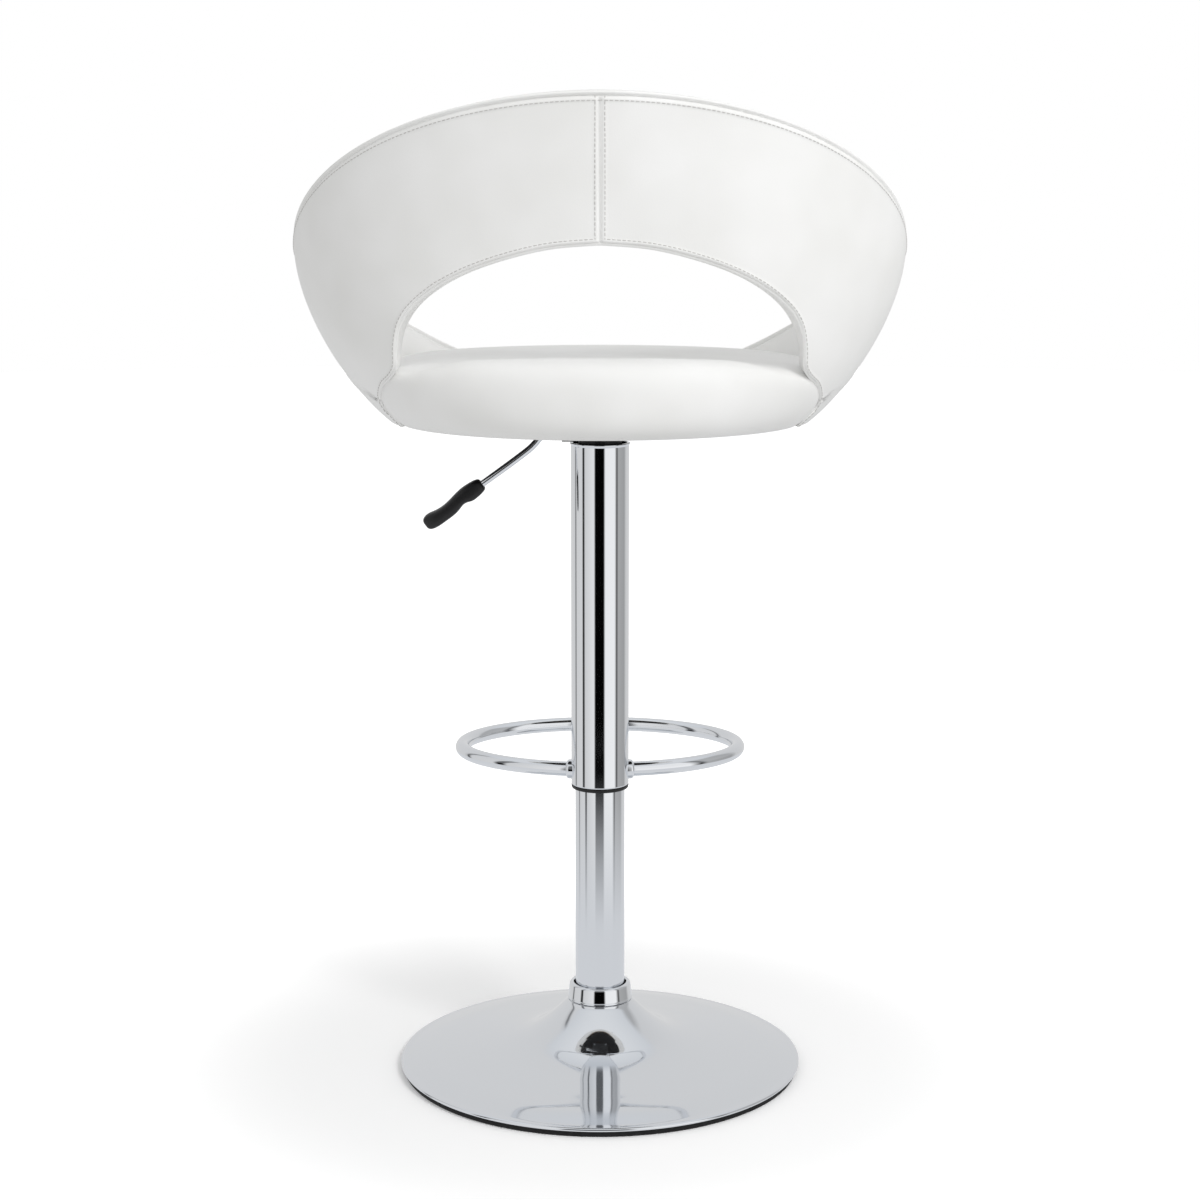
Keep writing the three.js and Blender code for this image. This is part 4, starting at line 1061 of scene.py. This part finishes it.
# ---------------------------------------------------------------- stage
def studio_world():
    """White studio: a white ground for the camera, and panels round the room for the chrome."""
    world = bpy.data.worlds.new("studio")
    bpy.context.scene.world = world
    world.use_nodes = True
    tree = world.node_tree
    tree.nodes.clear()
    place = add_node(tree, "ShaderNodeTexCoord").outputs["Generated"]
    split = add_node(tree, "ShaderNodeSeparateXYZ", links={"Vector": place})
    turn = add_node(tree, "ShaderNodeMath", {"operation": "ARCTAN2"})
    tree.links.new(split.outputs["X"], turn.inputs[0])
    tree.links.new(split.outputs["Y"], turn.inputs[1])
    share = add_node(tree, "ShaderNodeMapRange", {"From Min": math.pi, "From Max": -math.pi},
                     {"Value": turn.outputs["Value"]})
    # Panels by bearing, in degrees from +Y towards -X.
    panels = [(-180, 0.865), (-122, 0.86), (-116, 0.80), (-112, 0.16), (-106, 0.86), (-76, 0.88),
              (-71, 0.12), (-66, 0.14), (-62, 0.86), (-24, 0.94), (-19, 0.02), (15, 0.015), (21, 0.99),
              (60, 1.0), (70, 0.20), (77, 0.70), (112, 0.66), (124, 0.84), (150, 0.86), (180, 0.865)]
    stops = [((bearing + 180) / 360, grey(level)) for bearing, level in panels]
    room = ramp(tree, share.outputs["Result"], stops)
    # High overhead the panels give way to the soft ceiling, and low down to the pale floor.
    rise = add_node(tree, "ShaderNodeMapRange", {"From Min": -1.0, "From Max": 1.0},
                    {"Value": split.outputs["Z"]}).outputs["Result"]
    height = ramp(tree, rise, [(0.0, "#ffffff"), (0.350, "#ffffff"), (0.376, "#000000"), (0.54, "#000000"),
                               (0.58, "#7c7c7c"), (0.84, "#7c7c7c"), (0.88, "#ffffff"), (1.0, "#ffffff")])
    ceiling = ramp(tree, rise, [(0.0, "#e2e3e5"), (0.3, "#dcdee1"), (0.55, "#dddee1"), (0.85, "#d5d8dc"),
                                (1.0, "#e8eaec")])
    ambient = ramp(tree, rise, [(0.0, "#e6e6e6"), (0.47, "#e2e2e2"), (0.56, "#d8d8d8"),
                                (0.8, "#c8c8c8"), (1.0, "#c4c4c4")])
    mixed = add_node(tree, "ShaderNodeMix", {"data_type": "RGBA"})
    tree.links.new(height, mixed.inputs[0])
    tree.links.new(room, mixed.inputs[6])
    tree.links.new(ceiling, mixed.inputs[7])
    ray = add_node(tree, "ShaderNodeLightPath")
    seen = add_node(tree, "ShaderNodeBackground", {"Color": (1, 1, 1, 1), "Strength": 1.0})
    soft = add_node(tree, "ShaderNodeBackground", {"Strength": 1.0}, {"Color": ambient})
    mirrored = add_node(tree, "ShaderNodeBackground", {"Strength": 1.0}, {"Color": mixed.outputs[2]})
    gloss = add_node(tree, "ShaderNodeMixShader", links={"Fac": ray.outputs["Is Glossy Ray"]})
    tree.links.new(soft.outputs["Background"], gloss.inputs[1])
    tree.links.new(mirrored.outputs["Background"], gloss.inputs[2])
    whole = add_node(tree, "ShaderNodeMixShader", links={"Fac": ray.outputs["Is Camera Ray"]})
    tree.links.new(gloss.outputs["Shader"], whole.inputs[1])
    tree.links.new(seen.outputs["Background"], whole.inputs[2])
    add_node(tree, "ShaderNodeOutputWorld", links={"Surface": whole.outputs["Shader"]})


def soft_box(name, place, aim, size, watts):
    """A square studio softbox that lights the padding but isn't mirrored in the chrome."""
    light = bpy.data.lights.new(name, "AREA")
    light.shape = "SQUARE"
    light.size = size
    light.energy = watts
    box = bpy.data.objects.new(name, light)
    box.location = place
    box.rotation_euler = (Vector(aim) - Vector(place)).to_track_quat("-Z", "Y").to_euler()
    box.visible_glossy = False
    bpy.context.collection.objects.link(box)


FLOOR_RADIUS = 9000


def studio_floor(colour):
    """A wide white floor, painted matt, with a painted glow: its emission rises away from the stool, so the
    floor is painted darker round the stool. The floor isn't mirrored in the stool.
    """
    material, tree, shader, place = new_material("white_floor_paint_with_painted_glow")
    speck = add_node(tree, "ShaderNodeTexNoise", {"Scale": per_size(30), "Detail": 3.0}, {"Vector": place})
    bump = add_node(tree, "ShaderNodeBump", {"Strength": 0.01, "Distance": 0.1 * MM},
                    {"Height": speck.outputs["Fac"]})
    away = add_node(tree, "ShaderNodeVectorMath", {"operation": "LENGTH"}, {"Vector": place})
    # Painted glow: emission rises from 0.12 near the stool to 0.6 beyond 0.75 m. This paints shade round the
    # stool and lifts the far floor to white.
    lift = add_node(tree, "ShaderNodeMapRange", {"interpolation_type": "SMOOTHSTEP", "From Min": 0.28,
                                                 "From Max": 0.75, "To Min": 0.12, "To Max": 0.6},
                    {"Value": away.outputs["Value"]})
    paint = hex_to_linear(colour)
    finish_shader(tree, shader, {"Base Color": paint, "Roughness": 0.9, "Specular IOR Level": 0.1,
                                 "Emission Color": paint},
                  {"Normal": bump.outputs["Normal"], "Emission Strength": lift.outputs["Result"]})
    around, rings = 96, 12
    level = -0.1
    turns = [math.tau * i / around for i in range(around)]
    vertices = [Vector((0, 0, level))]
    for j in range(1, rings + 1):
        radius = FLOOR_RADIUS * (j / rings) ** 2
        vertices += [Vector((radius * math.cos(a), radius * math.sin(a), level)) for a in turns]
    faces = [(0, 1 + i, 1 + (i + 1) % around) for i in range(around)]
    for j in range(rings - 1):
        for i in range(around):
            n = (i + 1) % around
            inner, outer = 1 + j * around, 1 + (j + 1) * around
            faces.append((inner + i, outer + i, outer + n, inner + n))
    floor = make_piece("studio_floor", vertices, faces, material)
    for polygon in floor.data.polygons:
        if polygon.normal.z < 0:
            floor.data.flip_normals()
            break
    floor.visible_glossy = False
    floor.visible_diffuse = False
    return floor


# ---------------------------------------------------------------- operators
def colours():
    return bpy.context.scene.stool_colours


def sizes():
    return bpy.context.scene.stool_sizes


CAMERA_LENS = 73.95
CAMERA_PLACE = (0, 2.431, 0.914)
CAMERA_TILT = math.radians(80)


class STOOL_OT_stage(bpy.types.Operator):
    """Sets the camera, the studio light and the floor"""
    bl_idname = "stool.stage"
    bl_label = "Stage"

    def execute(self, context):
        data = bpy.data.cameras.new("camera")
        data.lens = CAMERA_LENS
        data.sensor_width = 36
        data.clip_end = 60
        camera = bpy.data.objects.new("camera", data)
        camera.location = CAMERA_PLACE
        camera.rotation_euler = (CAMERA_TILT, 0, math.pi)
        context.collection.objects.link(camera)
        context.scene.camera = camera
        context.scene.view_settings.view_transform = "Standard"
        studio_world()
        soft_box("key_softbox", (-1.4, 2.0, 2.5), (0, 0, 0.75), 1.1, 38)
        soft_box("top_softbox", (-0.3, 0.1, 2.9), (0, 0, 0), 2.0, 7)
        studio_floor(prop_hex(colours().floor))
        return {"FINISHED"}


class STOOL_OT_seat(bpy.types.Operator):
    """Builds the padded seat cushion with its rear roll"""
    bl_idname = "stool.seat"
    bl_label = "Seat cushion"

    def execute(self, context):
        leather = pu_leather(prop_hex(colours().leather))
        piece = build_seat_cover(leather, sizes().puff)
        subdivide(piece, 1)
        settle(piece, "upper", "white_leather", "seat_cushion")
        return {"FINISHED"}


class STOOL_OT_back(bpy.types.Operator):
    """Builds the padded wrap-round back, presses its seams and sews its stitches"""
    bl_idname = "stool.back"
    bl_label = "Back"

    def execute(self, context):
        leather = bpy.data.materials["white_pu_coated_leather"]
        piece = build_back_cover(leather, sizes().puff)
        subdivide(piece, 2)
        seams = back_seams()
        sink_seams(piece, [line for group in seams.values() for line in group], sizes().seam_depth / MM, 1.3)
        settle(piece, "upper", "white_leather", "back_outer_pad", "back_inner_pad")

        thread = sewing_thread(prop_hex(colours().thread))
        above = lambda p: Vector((0, 0, 1))
        below = lambda p: Vector((0, 0, -1))
        outward = lambda p: Vector((p.x, 0, max(0, p.z - 800) * 3 + 4))
        lines = [offset_line(line, outward, 4.2) for line in seams["window"]]
        lines += [offset_line(line, below, 4.0) for line in seams["rim"]]
        lines += [offset_line(line, lambda p, s=s: Vector((s, 0, 0)), 4.3)
                  for s in (1, -1) for line in seams["middle"]]
        rows = rows_on(piece, lines)
        stitches = place_stitches("back_stitching", rows, sizes().stitch_pitch / MM,
                                  sizes().stitch_width / MM, thread)
        settle(stitches, "upper", "white_leather")
        return {"FINISHED"}


class STOOL_OT_column(bpy.types.Operator):
    """Builds the chrome tubes and the bush between them"""
    bl_idname = "stool.column"
    bl_label = "Column"

    def execute(self, context):
        chrome = polished_chrome(prop_hex(colours().chrome))
        settle(build_sleeve(chrome), "upper", "chrome", "outer_tube")
        settle(build_fixed_tube(chrome), "base", "chrome", "inner_tube")
        plastic = moulded_plastic("black_acetal_bush", prop_hex(colours().rubber), 0.45)
        settle(build_bush(plastic), "upper", "black_plastic", "lower_bush")
        return {"FINISHED"}


class STOOL_OT_base(bpy.types.Operator):
    """Builds the spun chrome base, its trim ring and its floor pad"""
    bl_idname = "stool.base"
    bl_label = "Base"

    def execute(self, context):
        chrome = bpy.data.materials["polished_chrome_plate"]
        settle(build_dish(chrome), "base", "chrome", "base_cover")
        settle(build_collar(chrome), "base", "chrome", "base_collar")
        settle(build_pad(moulded_rubber(prop_hex(colours().rubber))), "base", "rubber", "floor_pad")
        return {"FINISHED"}


class STOOL_OT_footrest(bpy.types.Operator):
    """Builds the footrest's loop and its weld collars"""
    bl_idname = "stool.footrest"
    bl_label = "Footrest"

    def execute(self, context):
        chrome = bpy.data.materials["polished_chrome_plate"]
        settle(build_footrest(chrome), "upper", "chrome", "footrest_ring")
        left, right = build_footrest_collars(chrome)
        settle(left, "upper", "chrome", "footrest_collar_left")
        settle(right, "upper", "chrome", "footrest_collar_right")
        return {"FINISHED"}


class STOOL_OT_lever(bpy.types.Operator):
    """Builds the lift lever and its moulded handle"""
    bl_idname = "stool.lever"
    bl_label = "Lever"

    def execute(self, context):
        chrome = bpy.data.materials["polished_chrome_plate"]
        settle(build_lever_bar(chrome), "lever", "chrome", "lever_rod")
        grip = moulded_plastic("moulded_polypropylene", prop_hex(colours().handle), 0.42)
        settle(build_lever_grip(grip), "lever", "black_plastic", "lever_handle")
        return {"FINISHED"}


class STOOL_OT_underside(bpy.types.Operator):
    """Builds the cloth under the seat and finishes the frame's own parts"""
    bl_idname = "stool.underside"
    bl_label = "Underside and fittings"

    def execute(self, context):
        settle(build_under_cloth(nonwoven_cloth()), "upper", "dust_cloth", "dust_cover")
        finishes = {
            "chrome": bpy.data.materials["polished_chrome_plate"], "steel": zinc_steel(),
            "black_steel": powder_coat(), "cast_iron": sand_cast_iron(), "plywood": birch_plywood(),
            "rubber": bpy.data.materials["black_epdm_rubber"],
            "black_plastic": bpy.data.materials["black_acetal_bush"],
            "white_leather": bpy.data.materials["white_pu_coated_leather"],
            "dust_cloth": bpy.data.materials["spunbond_under_cloth"],
        }
        for part in frame["record"]["subparts"]:
            for material_slot in frame["nodes"][part["node"]].material_slots:
                material_slot.material = finishes[part["material_slot"]]
        return {"FINISHED"}


class STOOL_PT_panel(bpy.types.Panel):
    """Lists the stool's pieces, colours and sizes"""
    bl_idname = "STOOL_PT_panel"
    bl_label = "Adjustable Swivel Stool"
    bl_space_type = "VIEW_3D"
    bl_region_type = "UI"
    bl_category = "Stool"

    def draw(self, context):
        for operator in OPERATORS:
            self.layout.operator(operator.bl_idname)
        for group in (context.scene.stool_colours, context.scene.stool_sizes):
            for name in group.bl_rna.properties.keys():
                if name not in ("rna_type", "name"):
                    self.layout.prop(group, name)


OPERATORS = (STOOL_OT_stage, STOOL_OT_column, STOOL_OT_base, STOOL_OT_footrest, STOOL_OT_lever, STOOL_OT_seat,
             STOOL_OT_back, STOOL_OT_underside)


def register():
    for cls in (StoolColours, StoolSizes, *OPERATORS, STOOL_PT_panel):
        bpy.utils.register_class(cls)
    bpy.types.Scene.stool_colours = bpy.props.PointerProperty(type=StoolColours)
    bpy.types.Scene.stool_sizes = bpy.props.PointerProperty(type=StoolSizes)


def unregister():
    del bpy.types.Scene.stool_sizes
    del bpy.types.Scene.stool_colours
    for cls in reversed((StoolColours, StoolSizes, *OPERATORS, STOOL_PT_panel)):
        bpy.utils.unregister_class(cls)


def main():
    register()
    for operator in OPERATORS:
        family, name = operator.bl_idname.split(".")
        getattr(getattr(bpy.ops, family), name)()


if __name__ == "__main__":
    main()
